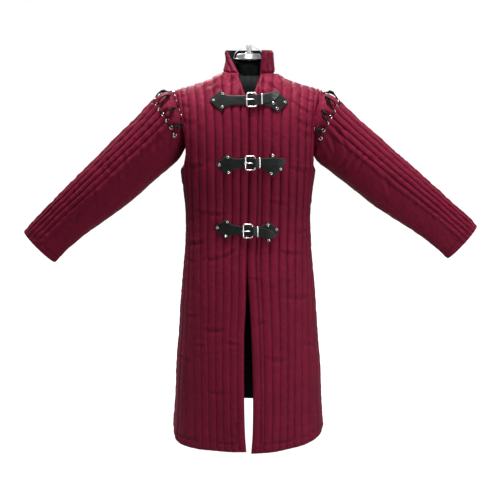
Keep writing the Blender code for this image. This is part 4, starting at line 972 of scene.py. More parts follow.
cloth_material = make_cloth()
lining_material = make_clouded(
    "black lining", LINING_COLOURS, (0.78, 0.92), (0.0015, 0.4), (0.03, 4.0, 1.2),
    Sheen_Weight=0.05, Specular_IOR_Level=0.12,
)
thread_material = make_clouded(
    "burgundy thread", THREAD_COLOURS, (0.5, 0.7), (0.0002, 0.6), (0.0009, 2.0, 1.4), Sheen_Weight=0.2
)
leather_material = make_leather()
lace_material = make_lace()
metal_material = make_metal("nickel", NICKEL_COLOURS, (0.16, 0.32))
cap_material = make_metal("brushed cap", CAP_COLOURS, (0.18, 0.34))
form_material = make_clouded(
    "black form cover", FORM_COLOURS, (0.42, 0.6), (0.002, 0.5), (0.025, 4.0, 1.5), Specular_IOR_Level=0.04
)


# Quilting and the shape of the cloth
def sewn_line(distance, place, width):
    """1 on a line of stitching `place` from an edge, dying away to both sides."""
    return np.exp(-(((distance - place) / width) ** 2))


def quilting(lines, u, v, seed):
    """How far the channels and their puckers stand out, and their painted shade: how near each point is to a
    stitched line, from 0 on a crest to 1 on the line."""
    lines = np.asarray(lines, float)
    index = np.clip(np.searchsorted(lines, u, side="right") - 1, 0, len(lines) - 2)
    low, high = lines[index], lines[index + 1]
    share = np.clip((u - low) / (high - low), 0, 1)
    width = np.minimum(high - low, 1.0)
    nearest = np.minimum(u - low, high - u) * PITCH
    line = index + (share > 0.5)
    full = RIB * width ** 0.8 * (1 + RIB_UNEVEN * noise(v / 0.09, index * 3.7, seed))
    lean = 0.5 + CREST_WANDER * noise(v / 0.12, index * 5.3, seed + 1)
    skewed = np.where(share < lean, 0.5 * share / lean, 1 - 0.5 * (1 - share) / (1 - lean))
    arch = np.maximum(1 - np.abs(2 * skewed - 1) ** ARCH_ROUND, 0) ** ARCH_FULL
    rough = 0.65 + 0.35 * noise(v / 0.1, line * 2.9, seed + 2)
    pucker = noise(v / 0.0085, line * 11.3 + share * 0.8, seed + 3) * 0.7
    pucker += noise(v / 0.017, line * 6.1 + share * 1.1, seed + 4) * 1.2
    fading = np.exp(-nearest / PUCKER_FAR) * (1 - np.exp(-nearest / PUCKER_NEAR))
    lift = full * arch + PUCKER * rough * pucker * fading
    tightness = 0.6 + 0.4 * noise(v / 0.06, line * 4.3, seed + 5)
    lift -= GROOVE * sewn_line(nearest, 0.0, GROOVE_WIDTH) * tightness
    # The second value is painted shade, strongest on the stitched lines
    return lift, np.exp(-nearest / SHADE_WIDTH)


def crease_lift(creases, units, along, height, stretch):
    """Soft troughs, each with a ridge beside it. stretch turns `along` and `height` into metres."""
    lift = np.zeros(len(along))
    places = np.stack([along * stretch[0], height * stretch[1]], 1)
    for a0, h0, a1, h1, depth, width in np.array(creases) * units:
        start = np.array((a0 * stretch[0], h0 * stretch[1]))
        reach = np.array((a1 * stretch[0], h1 * stretch[1])) - start
        length = np.linalg.norm(reach)
        reach = reach / length
        p = places - start
        t = p @ reach / length
        bow = 0.05 * length * np.sin(np.clip(t, 0, 1) * math.pi) * (1 if depth * (a0 + h1) > 0 else -1)
        d = (p @ np.array((-reach[1], reach[0])) - bow) / width
        taper = np.where((t > 0) & (t < 1), np.sin(np.clip(t, 0, 1) * math.pi) ** 0.8, 0)
        lift += 1.5 * depth * taper * (np.exp(-d * d) - 0.65 * np.exp(-((d - 1.7) ** 2)))
    return lift


def pulled(side, u, v, seed):
    """Fine folds where the cloth is drawn up: about the neck, and lower down along the flanks."""
    u = np.abs(u)
    near_neck = blend((0.085 - np.hypot((u * PITCH - 0.05) * 0.75, (v + 0.115) * 0.7)) / 0.05)
    near_neck = near_neck * blend((TOP - 0.01 - v) / 0.025)
    flank = blend((u - 8.6) / 2.0) * blend((-0.42 - v) / 0.2)
    across = noise(v / 0.013, u * 1.3 + side * 20, seed)
    fine = noise(v / 0.0075, u * 2.7 + side * 9, seed + 1)
    diagonal = noise((v + u * 0.012) / 0.01, u * 1.2 + side * 31, seed + 2)
    strength = 0.0005 + 0.0042 * near_neck + 0.001 * flank
    return strength * (0.6 * across + 0.4 * fine + near_neck * 0.9 * diagonal)


def sway(u, v, seed):
    """Channels run a little out of true, most along the flanks."""
    u = np.abs(u)
    amount = 0.025 + 0.055 * blend((u - 7) / 3)
    fixed = blend((CHANNELS - u) / 1.2) * blend(u / 0.8)
    return amount * fixed * noise(v / 0.055, u * 0.8, seed)


def lay(name, points, seed):
    """Base points and outward directions of a panel's points."""
    behind = name == "back"
    side = np.where(points[:, 0] < 0, -1, 1) if behind else SIDES[name.split("_")[1]]
    u, v = np.abs(points[:, 0]) if behind else points[:, 0], points[:, 1]
    return bed(behind, side, u + sway(u, v, seed + 20), v)


def wall_of(outer, inner, count, place, lifts):
    """Points and faces of a closed wall between two fillings of one border of `count` points."""
    outer_points, outer_faces = outer
    inner_points, inner_faces = inner
    points = np.concatenate([place(outer_points, lifts[0]), place(inner_points, lifts[1])])
    shift = len(outer_points)
    faces = list(outer_faces) + [tuple(shift + i for i in face) for face in turned_round(inner_faces)]
    faces += [((i + 1) % count, i, shift + i, shift + (i + 1) % count) for i in range(count)]
    return points, facing_out(points, faces)


def panel_relief(name, outline, points, seed):
    """How far the outside of a panel stands out, and its painted shade, by how near its points are to
    stitched lines.
    """
    u, v = points[:, 0], points[:, 1]
    side = np.sign(u) if name == "back" else SIDES[name.split("_")[1]]
    lift, groove_shade = quilting(QUILT_LINES[name], u, v, seed)
    hanging = blend((-0.56 - v) / 0.25)
    lift, groove_shade = lift * (1 - 0.38 * hanging), groove_shade * (1 - 0.45 * hanging)
    distance = distance_to(points, outline, 1 / PITCH) * PITCH
    lift = lift * (EDGE_RIB + (1 - EDGE_RIB) * blend(distance / 0.008))
    creases = crease_lift(CREASES[name], PANEL_CREASE_UNITS, u, v, (PITCH, 1.0))
    lift += creases * blend(distance / 0.01)
    lift += pulled(side, u, v, seed + 10) * blend(distance / 0.006)
    lift -= EDGE_TURN * (1 - blend(distance / EDGE_TURN_WIDTH))
    hem_line = sewn_line(distance, HEM_STITCH, HEM_PULL) * blend((-1.07 - v) / 0.01)
    neck_line = sewn_line(distance, NECK_STITCH, NECK_PULL) * blend((v + 0.3) / 0.04) * (np.abs(u) < 6)
    lift -= HEM_SINK * hem_line + NECK_SINK * neck_line
    # The hem's and the neckline's stitched lines get painted shade too
    return lift, np.maximum(groove_shade, np.maximum(hem_line, neck_line))


def cloth_and_lining(name, cloth, cloth_plan, painted_shades, lining, lining_plan):
    """A quilted piece and its lining, from their shapes and their places on the cut."""
    # The quilted piece carries its painted shade as a point attribute
    more = dict(uv=cloth_plan, attributes=[("painted_groove_shade", painted_shades)])
    outside = new_piece(name + "_quilted", cloth, cloth_material, "cloth", [name], 60, **more)
    nodes = ["lining_" + name]
    return outside, new_piece(name + "_lining", lining, lining_material, "lining", nodes, 60, uv=lining_plan)


def make_panel(name, outline, seed):
    """A front or the back with its lining, finely shaped outside and plainly inside."""
    lines = QUILT_LINES[name]
    rows = np.arange(LOWEST_ROW, TOP, ROW_STEP)
    outer = fill(outline, columns_of(lines)[1:-1], rows, FINE_SCALE, 0.05)
    coarse = np.array([u for low, high in zip(lines, lines[1:]) for u in (low, (low + high) / 2)][1:])
    inner = fill(outline, coarse, rows[::5], PLAIN_SCALE, 0.3)

    def place(points, lift):
        base, out = lay(name, points, seed)
        return base + out * np.broadcast_to(lift, len(points))[:, None]

    lift, groove_shade = panel_relief(name, outline, outer[0], seed)
    under = -WALL - LINING_GAP
    return cloth_and_lining(
        name,
        wall_of(outer, inner, len(outline), place, (lift, -WALL)),
        np.concatenate([outer[0], inner[0]]) * (PITCH, 1.0),
        np.concatenate([groove_shade, np.zeros(len(inner[0]))]),
        wall_of(inner, inner, len(outline), place, (under, under - LINING)),
        np.concatenate([inner[0], inner[0]]) * (PITCH, 1.0),
    )


# Collar
def ways_out(angle):
    return np.stack([np.sin(angle), -np.cos(angle), np.zeros(len(angle))], 1)


def collar_frame(share, height):
    """Base points and outward directions. share: from the right front end round the nape to the left one."""
    starts = {name: math.radians(COLLAR_TOP_OPEN[name]) for name in SIDES}
    round_foot = 2 * math.pi - collar_base_angle("left") + collar_base_angle("right")
    low = collar_base_angle("right") - share * round_foot
    high = -starts["right"] - share * (2 * math.pi - starts["left"] - starts["right"])
    behind, side, u, v = neck_place((low + math.pi) % (2 * math.pi) - math.pi)
    base, out = bed(behind, side, u, v)
    foot_lift = RIB * EDGE_RIB * np.abs(np.sin(math.pi * u)) ** 0.8
    x, y = neck_plan(low)
    foot = np.stack([x, y, (base + out * foot_lift[:, None])[:, 2] + COLLAR_UP], 1)
    foot -= ways_out(low) * (COLLAR_IN + RIB * EDGE_RIB)
    top = np.stack([
        COAT_X + NECK_X + COLLAR_TOP_HALF * np.sin(high),
        SHOULDER_Y - COLLAR_TOP_DEPTH * np.cos(high),
        np.full(len(high), COLLAR_TOP_Z),
    ], 1)
    height = height[:, None]
    return foot * (1 - height) + top * height, ways_out(low) * (1 - height) + ways_out(high) * height


def closed_band(outer, inner, rows, columns):
    """A closed wall between two grids of points."""
    size = rows * columns
    faces = grid_faces(rows, columns) + turned_round(grid_faces(rows, columns, size))
    rim = list(range(columns)) + [row * columns + columns - 1 for row in range(1, rows)]
    rim += [size - 1 - k for k in range(1, columns)] + [row * columns for row in range(rows - 2, 0, -1)]
    faces += [(b, a, a + size, b + size) for a, b in zip(rim, rim[1:] + rim[:1])]
    points = np.concatenate([outer, inner])
    return points, facing_out(points, faces)


def collar_relief(share, height):
    """The collar's relief, and its painted shade, by how near its points are to stitched lines."""
    up = height * COLLAR_TALL
    lift, groove_shade = quilting(np.arange(COLLAR_CHANNELS + 1), share * COLLAR_CHANNELS, up, COLLAR_SEED)
    ends = np.minimum(share, 1 - share) * COLLAR_ROUND
    edge = np.minimum(np.minimum(height, 1 - height) * COLLAR_TALL, ends)
    lift = lift * 0.72 * (0.3 + 0.7 * blend(edge / 0.006)) - 0.0012 * (1 - blend(edge / EDGE_TURN_WIDTH))
    wrinkle = noise(up / 0.008 + share * 25, share * 40, COLLAR_SEED + 1)
    wrinkle += noise(up / 0.014 - share * 30, share * 22, COLLAR_SEED + 2)
    lift += 0.0007 * wrinkle * blend(edge / 0.004)
    end_line = sewn_line(ends, END_STITCH, END_PULL)
    lift -= END_SINK * end_line
    return lift, np.maximum(groove_shade, end_line)


def collar_plan(share, height):
    """Places on the cut of the collar's two sides."""
    return np.tile(np.stack([share * COLLAR_ROUND, height * COLLAR_TALL], 1), (2, 1))


def make_collar():
    """The collar and its lining, which rolls over its top edge."""
    shares = columns_of(np.arange(COLLAR_CHANNELS + 1)) / COLLAR_CHANNELS
    heights = np.concatenate([[-COLLAR_TUCK, -COLLAR_TUCK / 2], np.linspace(0, 1, 26)])
    height, share = crossed(heights, shares)
    base, out = collar_frame(share, height)
    lift, groove_shade = collar_relief(share, height)
    cloth = closed_band(base + out * lift[:, None], base - out * COLLAR_WALL, len(heights), len(shares))
    plan = collar_plan(share, height)
    # Painted shade on the collar's outside, none on its inside
    painted_shades = np.concatenate([groove_shade, np.zeros(len(share))])

    rows, columns = 9, 97
    height, share = crossed(np.linspace(0, 1, rows), np.linspace(0, 1, columns))
    base, out = collar_frame(share, height)
    base[:, 2] += COLLAR_ROLL_UP * blend((height - 0.8) / 0.2)
    under = -COLLAR_WALL - GAP
    roll = COLLAR_ROLL_OUT * blend((height - 0.86) / 0.14)
    lining = closed_band(base + out * (under + roll)[:, None], base + out * (under - LINING), rows, columns)
    return cloth_and_lining("collar", cloth, plan, painted_shades, lining, collar_plan(share, height))


# Sleeves, each in its own frame: X down the sleeve, Z towards its upper side
def head_cut(angle):
    """How far down the sleeve its head is cut away, by angle round it."""
    angle = np.asarray(angle, float)
    turn = np.abs(angle)
    front, back = (curve_at(turn, SLEEVE_HEAD["angle"], SLEEVE_HEAD[key]) for key in ("front", "back"))
    return np.where(angle >= 0, front, back)


def sleeve_frame(side_name):
    slope = SIDES[side_name] * SLEEVE_SLOPE[side_name]
    return Matrix.Translation(SLEEVE_CORNER[side_name]) @ Matrix.Rotation(slope, 4, "Y")


def sleeve_bed(side_name, a, angle):
    """World points and outward directions, a metres down the sleeve and at angles round it: 0 on top, 90 in
    front, 180 below, -90 behind."""
    a, angle = np.broadcast_arrays(np.atleast_1d(a).astype(float), np.atleast_1d(angle).astype(float))
    top, bottom, flatness = (curve_at(a, SLEEVE["a"], SLEEVE[key]) for key in ("top", "bottom", "flatness"))
    half = (top - bottom) / 2
    depth = half * flatness
    turn = np.radians(angle)
    local = np.stack([a, -depth * np.sin(turn), (top + bottom) / 2 + half * np.cos(turn)], 1)
    out = unit(np.stack([np.zeros(len(a)), -np.sin(turn) / depth, np.cos(turn) / half], 1))
    flip = np.array((SIDES[side_name], 1, 1))
    turned = np.array(sleeve_frame(side_name))
    return local * flip @ turned[:3, :3].T + turned[:3, 3], out * flip @ turned[:3, :3].T


def sleeve_swelling(angle, a, seed):
    """The quilting of a sleeve's upper panel and its painted shade, with none under the arm."""
    lines = np.array(SLEEVE_LINES)
    channel = np.interp(np.abs(angle), lines, np.arange(len(lines)))
    lift, groove_shade = quilting(np.arange(len(lines)), channel, a, seed)
    padded = np.abs(angle) < lines[-1]
    return np.where(padded, lift, 0.0), np.where(padded, groove_shade, 0.0)


def wander(a, angle, share, seed):
    """Degrees by which a sleeve's channels run out of true, least at its head and cuff."""
    return 0.9 * noise(a / 0.05, angle / 15.0, seed + 8) * blend(share / 0.1) * blend((1 - share) / 0.1)


def sleeve_relief(side_name, a, angle, share, seed):
    """A sleeve's relief, and its painted shade, by how near its points are to stitched lines."""
    lift, groove_shade = sleeve_swelling(angle, a, seed)
    length = SLEEVE_LENGTH - head_cut(angle)
    head, cuff = share * length, (1 - share) * length
    edge = np.minimum(share, 1 - share) * length
    lift = lift * (0.3 + 0.7 * blend(head / 0.012)) * (0.3 + 0.7 * blend((cuff - 0.014) / 0.014))
    around = angle * SLEEVE_ROUND
    on_top = blend((100 - np.abs(angle)) / 12)
    wrinkle = noise(a / 0.01, around / 0.016, seed + 9)
    wrinkle += 0.7 * noise(a / 0.018, around / 0.01, seed + 10)
    lift += (0.0006 + 0.0007 * on_top) * wrinkle * blend(edge / 0.008)
    wave = 0.0014 * noise(a / 0.06, around / 0.045, seed + 11)
    lift += wave * (1 - 0.6 * on_top) * blend(edge / 0.02)
    creases = crease_lift(SLEEVE_CREASES[side_name], SLEEVE_CREASE_UNITS, a, angle, (1.0, SLEEVE_ROUND))
    lift += creases * blend(edge / 0.008)
    cuff_line = sewn_line(cuff, CUFF_STITCH, CUFF_PULL)
    head_line = sewn_line(head, HEAD_STITCH, HEAD_PULL)
    lift -= CUFF_SINK * cuff_line + HEAD_SINK * head_line
    lift -= EDGE_TURN * (1 - blend(edge / EDGE_TURN_WIDTH))
    return lift, np.maximum(groove_shade, np.maximum(cuff_line, head_line))


def closed_tube(outer, inner, count):
    """A closed wall between two tubes of points, in rows of `count` points."""
    outer_rows, inner_rows = len(outer) // count, len(inner) // count
    start = len(outer)
    faces = grid_faces(outer_rows, count, 0, True)
    faces += turned_round(grid_faces(inner_rows, count, start, True))
    last, inner_last = start - count, start + len(inner) - count
    for k in range(count):
        m = (k + 1) % count
        faces.append((m, k, start + k, start + m))
        faces.append((last + k, last + m, inner_last + m, inner_last + k))
    points = np.concatenate([outer, inner])
    return points, facing_out(points, faces)


def make_sleeve(side_name, seed):
    """A padded tube with a thin layer tucked in past its head, and its lining."""
    half = columns_of(SLEEVE_LINES)[:-1]
    under = np.linspace(90, 270, 57)[:-1]
    angles = np.concatenate([[-90], -half[1:][::-1], half, under])
    angles = np.unique(np.round(np.where(angles > 180, angles - 360, angles), 4))

    share, angle = crossed(np.linspace(0, 1, SLEEVE_ROWS), angles)
    a = head_cut(angle) + (SLEEVE_LENGTH - head_cut(angle)) * share
    base, out = sleeve_bed(side_name, a, angle + wander(a, angle, share, seed))
    lift, groove_shade = sleeve_relief(side_name, a, angle, share, seed)

    inner_share, inner_angle = crossed(np.linspace(0, 1, SLEEVE_INNER_ROWS), angles)
    inner_a = head_cut(inner_angle) + (SLEEVE_LENGTH - head_cut(inner_angle)) * inner_share
    inner_base, inner_out = sleeve_bed(side_name, inner_a, inner_angle)

    tuck_share, tuck_angle = crossed(TUCK_STEPS, angles)
    tuck = np.interp(np.abs(tuck_angle), *TUCK.values()) * tuck_share
    tuck_a = head_cut(tuck_angle) - tuck
    tuck_base, tuck_out = sleeve_bed(side_name, tuck_a, tuck_angle)
    depth = np.interp(np.abs(tuck_angle), *TUCK_DEPTH.values())
    dip = depth * (SLEEVE_WALL + TUCK_DIP * blend(tuck_share))
    dip += 0.0006 * noise(tuck_angle / 9.0, tuck / 0.006, seed + 13)

    outer = np.concatenate([tuck_base + tuck_out * (TUCK_THICK - dip)[:, None], base + out * lift[:, None]])
    inner = np.concatenate([tuck_base - tuck_out * dip[:, None], inner_base - inner_out * SLEEVE_WALL])
    plan, tuck_plan, inner_plan = (
        np.stack([round_it * SLEEVE_ROUND, down_it], 1)
        for round_it, down_it in ((angle, a), (tuck_angle, tuck_a), (inner_angle, inner_a))
    )
    plain = np.zeros(len(tuck))
    under = -SLEEVE_WALL - GAP
    return cloth_and_lining(
        "sleeve_" + side_name,
        closed_tube(outer, inner, len(angles)),
        np.concatenate([tuck_plan, plan, tuck_plan, inner_plan]),
        # Painted shade on the sleeve's outside, none on the tuck or inside
        np.concatenate([plain, groove_shade, plain, np.zeros(len(inner_a))]),
        closed_tube(inner_base + inner_out * under, inner_base + inner_out * (under - LINING), len(angles)),
        np.concatenate([inner_plan, inner_plan]),
    )


# What repeats: rivets, eyelets and stitches are one shape set on many points
def repeat_tree():
    """Sets a shape on each point, its Z along the point's "out" and its X along the point's "along"."""
    tree = bpy.data.node_groups.new("set on points", "GeometryNodeTree")
    inputs = dict(Points="Geometry", Shape="Object", Finish="Material", Unevenness="Float", Seed="Int")
    for label, kind in inputs.items():
        tree.interface.new_socket(label, in_out="INPUT", socket_type="NodeSocket" + kind)
    tree.interface.new_socket("Geometry", in_out="OUTPUT", socket_type="NodeSocketGeometry")
    nodes = tree.nodes
    start, end = nodes.new("NodeGroupInput"), nodes.new("NodeGroupOutput")
    info = nodes.new("GeometryNodeObjectInfo")
    info.transform_space = "ORIGINAL"
    out, along = (nodes.new("GeometryNodeInputNamedAttribute") for _ in range(2))
    for node, label in ((out, "out"), (along, "along")):
        node.data_type = "FLOAT_VECTOR"
        node.inputs["Name"].default_value = label
    turn = nodes.new("FunctionNodeAxesToRotation")
    turn.primary_axis, turn.secondary_axis = "Z", "X"
    size = nodes.new("FunctionNodeRandomValue")
    size.data_type = "FLOAT"
    lowest, highest = (nodes.new("ShaderNodeMath") for _ in range(2))
    lowest.operation, highest.operation = "SUBTRACT", "ADD"
    lowest.inputs[0].default_value = highest.inputs[0].default_value = 1.0
    place = nodes.new("GeometryNodeInstanceOnPoints")
    real = nodes.new("GeometryNodeRealizeInstances")
    paint = nodes.new("GeometryNodeSetMaterial")
    for source, output, target, socket in (
        (start, "Points", place, "Points"), (start, "Shape", info, "Object"),
        (info, "Geometry", place, "Instance"), (out, "Attribute", turn, "Primary Axis"),
        (along, "Attribute", turn, "Secondary Axis"), (turn, "Rotation", place, "Rotation"),
        (start, "Unevenness", lowest, 1), (start, "Unevenness", highest, 1),
        (lowest, 0, size, 2), (highest, 0, size, 3), (start, "Seed", size, "Seed"), (size, 1, place, "Scale"),
        (place, "Instances", real, "Geometry"), (real, "Geometry", paint, "Geometry"),
        (start, "Finish", paint, "Material"), (paint, "Geometry", end, "Geometry"),
    ):
        tree.links.new(source.outputs[output], target.inputs[socket])
    return tree


SET_ON_POINTS = repeat_tree()


def plain_mesh(holder):
    """A new mesh that holds what an object's modifiers make of it."""
    bpy.context.view_layer.update()
    graph = bpy.context.evaluated_depsgraph_get()
    return bpy.data.meshes.new_from_object(holder.evaluated_get(graph), depsgraph=graph)


def set_on_points(name, shape, spots, finish, nodes=(), unevenness=0.0, seed=1):
    """One piece made of a shape repeated at spots: places, ways out of the surface and ways along it."""
    places, outs, alongs = spots
    pattern = new_mesh(name + "_pattern", *shape, finish)
    mesh = bpy.data.meshes.new(name + "_points")
    mesh.from_pydata([tuple(map(float, place)) for place in places], [], [])
    for label, values in (("out", outs), ("along", alongs)):
        layer = mesh.attributes.new(label, "FLOAT_VECTOR", "POINT")
        layer.data.foreach_set("vector", np.asarray([tuple(v) for v in values], np.float32).ravel())
    holder = add_object(name + "_points", mesh)
    modifier = holder.modifiers.new("set", "NODES")
    modifier.node_group = SET_ON_POINTS
    sockets = {item.name: item.identifier for item in SET_ON_POINTS.interface.items_tree}
    modifier[sockets["Shape"]] = pattern
    modifier[sockets["Finish"]] = finish
    modifier[sockets["Unevenness"]] = unevenness
    modifier[sockets["Seed"]] = seed
    made = plain_mesh(holder)
    holder.modifiers.remove(modifier)
    bpy.data.objects.remove(holder)
    bpy.data.objects.remove(pattern)
    made.name = name
    made.materials.clear()
    made.materials.append(finish)
    for label in ("out", "along"):
        if label in made.attributes:
            made.attributes.remove(made.attributes[label])
    made.shade_smooth()
    made.set_sharp_from_angle(angle=math.radians(40))
    settle(add_object(name, made), nodes)


def end_flats(total, count):
    """The faces over the first and the last `count` points of a round shape."""
    return [tuple(range(count))[::-1], tuple(range(total - count, total))]


def turned(radii, heights, segments):
    """Points and faces turned about Z from a profile, with a flat at each end."""
    turn = np.linspace(0, 2 * math.pi, segments, endpoint=False)
    rings = [(r * np.cos(turn), r * np.sin(turn), np.full(segments, z)) for r, z in zip(radii, heights)]
    points = np.concatenate([np.stack(ring, 1) for ring in rings])
    faces = grid_faces(len(radii), segments, 0, True)
    return points, faces + end_flats(len(points), segments)


def ring_shape(middle, half_width, half_height, segments=20, sides=8):
    """A rounded ring about Z."""
    points, faces = [], []
    for k in range(segments):
        turn = 2 * math.pi * k / segments
        here, ahead = k * sides, (k + 1) % segments * sides
        for m in range(sides):
            around = 2 * math.pi * m / sides
            r = middle + half_width * math.cos(around)
            points.append((r * math.cos(turn), r * math.sin(turn), half_height * math.sin(around)))
            beside = (m + 1) % sides
            faces.append((here + m, ahead + m, ahead + beside, here + beside))
    return np.array(points), faces


def stitch_shape(length, thick):
    """A stitch that dips into the cloth at both ends, lying along X."""
    route = [(x * length / 2, 0, thick * (0.7 - 1.5 * x * x)) for x in (-1, -0.5, 0.5, 1)]
    return tube(route, thick / 2, 4)


def stitch_line(places, outs):
    """Where stitches sit along a line of places: middles and directions."""
    middles = (places[1:] + places[:-1]) / 2
    return middles, unit(outs[1:] + outs[:-1]), unit(places[1:] - places[:-1])


def sew(name, lines, seed):
    """One piece of all the stitches along lines, each of them places and ways out of the cloth."""
    spots = [np.concatenate(part) for part in zip(*(stitch_line(*line) for line in lines))]
    stitch = stitch_shape(STITCH_PITCH * STITCH_LONG, STITCH_THICK)
    set_on_points(name + "_stitches", stitch, spots, thread_material, (), STITCH_UNEVEN, seed)


def panel_stitches(name, outline, seed):
    """Stitches down every quilted line of a panel, and round its hem."""
    tests = 600
    heights = np.linspace(LOWEST_ROW - 0.004, TOP - 0.002, tests)
    paths = []
    for line in QUILT_LINES[name][1:-1]:
        pairs = np.stack([np.full(tests, line), heights], 1)
        keep = within(pairs, outline) & (distance_to(pairs, outline, 1 / PITCH) * PITCH > 0.004)
        breaks = np.nonzero(np.diff(keep.astype(int)))[0] + 1
        for stretch in np.split(np.arange(tests), breaks):
            if keep[stretch[0]] and len(stretch) > 4:
                paths.append(even_line((pairs[stretch[0]], pairs[stretch[-1]]), STITCH_PITCH))
    lines = []
    for path in [*paths, hem_path(name)]:
        base, out = lay(name, path, seed)
        lines.append((base + out * STITCH_LIFT, out))
    sew(name, lines, seed)


def hem_path(name):
    """The line of stitching above a panel's hem, in panel coordinates."""
    face, _, side_name = name.partition("_")
    if face == "front":
        u = np.linspace(0.25, CHANNELS - 0.1, 60)
        v = curve_at(u, HEM["u"], HEM["front"][side_name])
    else:
        u = np.linspace(-CHANNELS + 0.1, CHANNELS - 0.1, 120)
        right, left = (curve_at(np.abs(u), HEM["u"], HEM["back"][side]) for side in SIDES)
        v = np.where(u < 0, right, left)
    metres = np.stack([u, v + HEM_STITCH], 1) * (PITCH, 1.0)
    return even_line(metres, STITCH_PITCH) / (PITCH, 1.0)


def sleeve_stitches(side_name, seed):
    """Stitches down every quilted line of a sleeve, and round its cuff."""
    lines = []
    for line in sorted({-angle for angle in SLEEVE_LINES} | set(SLEEVE_LINES)):
        start = float(head_cut(line))
        a = np.linspace(start + 0.006, SLEEVE_LENGTH - 0.012, int((SLEEVE_LENGTH - start) / STITCH_PITCH))
        share = (a - start) / (SLEEVE_LENGTH - start)
        base, out = sleeve_bed(side_name, a, line + wander(a, line, share, seed))
        lines.append((base + out * STITCH_LIFT, out))
    angle = np.linspace(-180, 180, 110)
    a = np.full(len(angle), SLEEVE_LENGTH - CUFF_STITCH)
    base, out = sleeve_bed(side_name, a, angle)
    lift = sleeve_swelling(angle, a, seed)[0] * 0.75 - 0.0012
    lines.append((base + out * lift[:, None], out))
    sew("sleeve_" + side_name, lines, seed)


# Eyelets and laces
def armhole_u(face, side_name, v):
    """How many channels from the middle the armhole's edge lies at a height."""
    edge = armhole_edge(face, side_name)
    rising = sorted((height, u) for u, height in edge[:5])
    return float(curve_at(v, *zip(*rising)))


def at_eyelet(table, behind, index):
    """The table's value at an index counted from the front over the shoulder to the back."""
    row = list(table) + [behind(value) for value in reversed(table)]
    return float(np.interp(index, range(len(row)), row))


def over_body(side_name, index, share=0.0, past=0.0, lift=0.0):
    """A place over the body and its outward direction. share: 0 on the eyelets, 1 at the armhole's edge."""
    t = at_eyelet(BODY_EYELETS[side_name], lambda value: 2 - value, index)
    face, t = ("front", t) if t <= 1 else ("back", 2 - t)
    v = CHEST_Z + RISE * min(t, 0.998)
    u = armhole_u(face, side_name, v) - (EYELET_INSET * (1 - share) - past) / PITCH
    base, out = bed(face == "back", SIDES[side_name], u, v)
    name = "back" if face == "back" else "front_" + side_name
    level = quilting(QUILT_LINES[name], np.array([u]), np.array([v]), PANEL_SEEDS[name])[0][0]
    return Vector(base[0] + out[0] * (lift + level)), Vector(out[0])


def over_sleeve(side_name, index, share=0.0, past=0.0, lift=0.0):
    """The same over a sleeve and the edge of its head."""
    angle = at_eyelet(SLEEVE_EYELETS, lambda value: -value, index)
    row = float(curve_at(abs(angle), *SLEEVE_LACING.values()))
    a = row + (float(head_cut(angle)) - row) * share - past
    base, out = sleeve_bed(side_name, a, angle)
    level = sleeve_swelling(np.array([angle]), np.array([a]), SLEEVE_SEEDS[side_name])[0][0] * 0.7
    return Vector(base[0] + out[0] * (lift + level + EDGE_ROOM * share)), Vector(out[0])


def make_eyelets(side_name):
    """Metal rings along both edges of a shoulder's gap, each with a dark plug inside as painted shade."""
    indices = range(2 * len(SLEEVE_EYELETS))
    spots = [over(side_name, index) for over in (over_body, over_sleeve) for index in indices]
    places, outs = zip(*spots)
    alongs = [Vector((0, 0, -1)).cross(out).normalized() for out in outs]
    middle, half_width = (EYELET_RADIUS + EYELET_HOLE) / 2, (EYELET_RADIUS - EYELET_HOLE) / 2
    ring = ring_shape(middle, half_width, EYELET_RISE, 24, 10)
    risen = [place + out * EYELET_RISE for place, out in spots]
    set_on_points("eyelets_" + side_name, ring, (risen, outs, alongs), metal_material)
    # A dark plug in each ring: painted shade for the hole's inside
    hole = turned((EYELET_HOLE * 1.15, EYELET_HOLE * 1.15, EYELET_HOLE * 0.8), (-0.003, 0.0005, 0.0006), 16)
    set_on_points("eyelet_holes_" + side_name, hole, (places, outs, alongs), lining_material)


def crossing(side_name, index):
    """The middle of a crossing over the gap, the way out of it and the way across it to the sleeve."""
    on_sleeve = over_sleeve(side_name, index, 1, LACE_OVER, LACE_LIFT)[0]
    on_body = over_body(side_name, index, 1, 0, LACE_LIFT)[0]
    middle = on_sleeve.lerp(on_body, 0.4)
    shoulder = Vector(surface(False, SIDES[side_name], 6, TOP)[0]) - Vector((0, 0, 0.12))
    away = (middle - shoulder).normalized()
    if abs(index + 0.5 - len(SLEEVE_EYELETS)) < 0.6:
        middle -= away * LACE_LOWER_ON_TOP
    return middle, away, (on_sleeve - on_body).normalized()


def strand(side_name, starts_on_body, cross):
    """One of a lace's two strands: it crosses the gap within each pair of eyelets and runs along its edge
    from one pair to the next. cross: how far out it passes the middle of a gap."""
    total = 2 * len(SLEEVE_EYELETS)
    near, far = (over_body, over_sleeve) if starts_on_body else (over_sleeve, over_body)
    route = []
    for index in range(total):
        route.append(near(side_name, index, lift=LACE_SEAT)[0])
        if index + 1 == total:
            break
        if index % 2:
            route.append(near(side_name, index + 0.5, lift=LACE_LIFT * 0.6)[0])
            continue
        middle, away, _ = crossing(side_name, index + 0.5)
        height = LACE_TOP_LIFT if index + 1 == total / 2 else LACE_LIFT * 0.9
        if near is over_sleeve:
            route.append(near(side_name, index + 1 / 6, 0.5, 0, height)[0])
        route.append(near(side_name, index + 1 / 3, 1, LACE_OVER * 0.6, height)[0])
        route.append(middle + away * (LACE_BULGE + cross))
        route.append(far(side_name, index + 2 / 3, 1, LACE_OVER * 0.6, height)[0])
        if far is over_sleeve:
            route.append(far(side_name, index + 5 / 6, 0.5, 0, height)[0])
        near, far = far, near
    return route


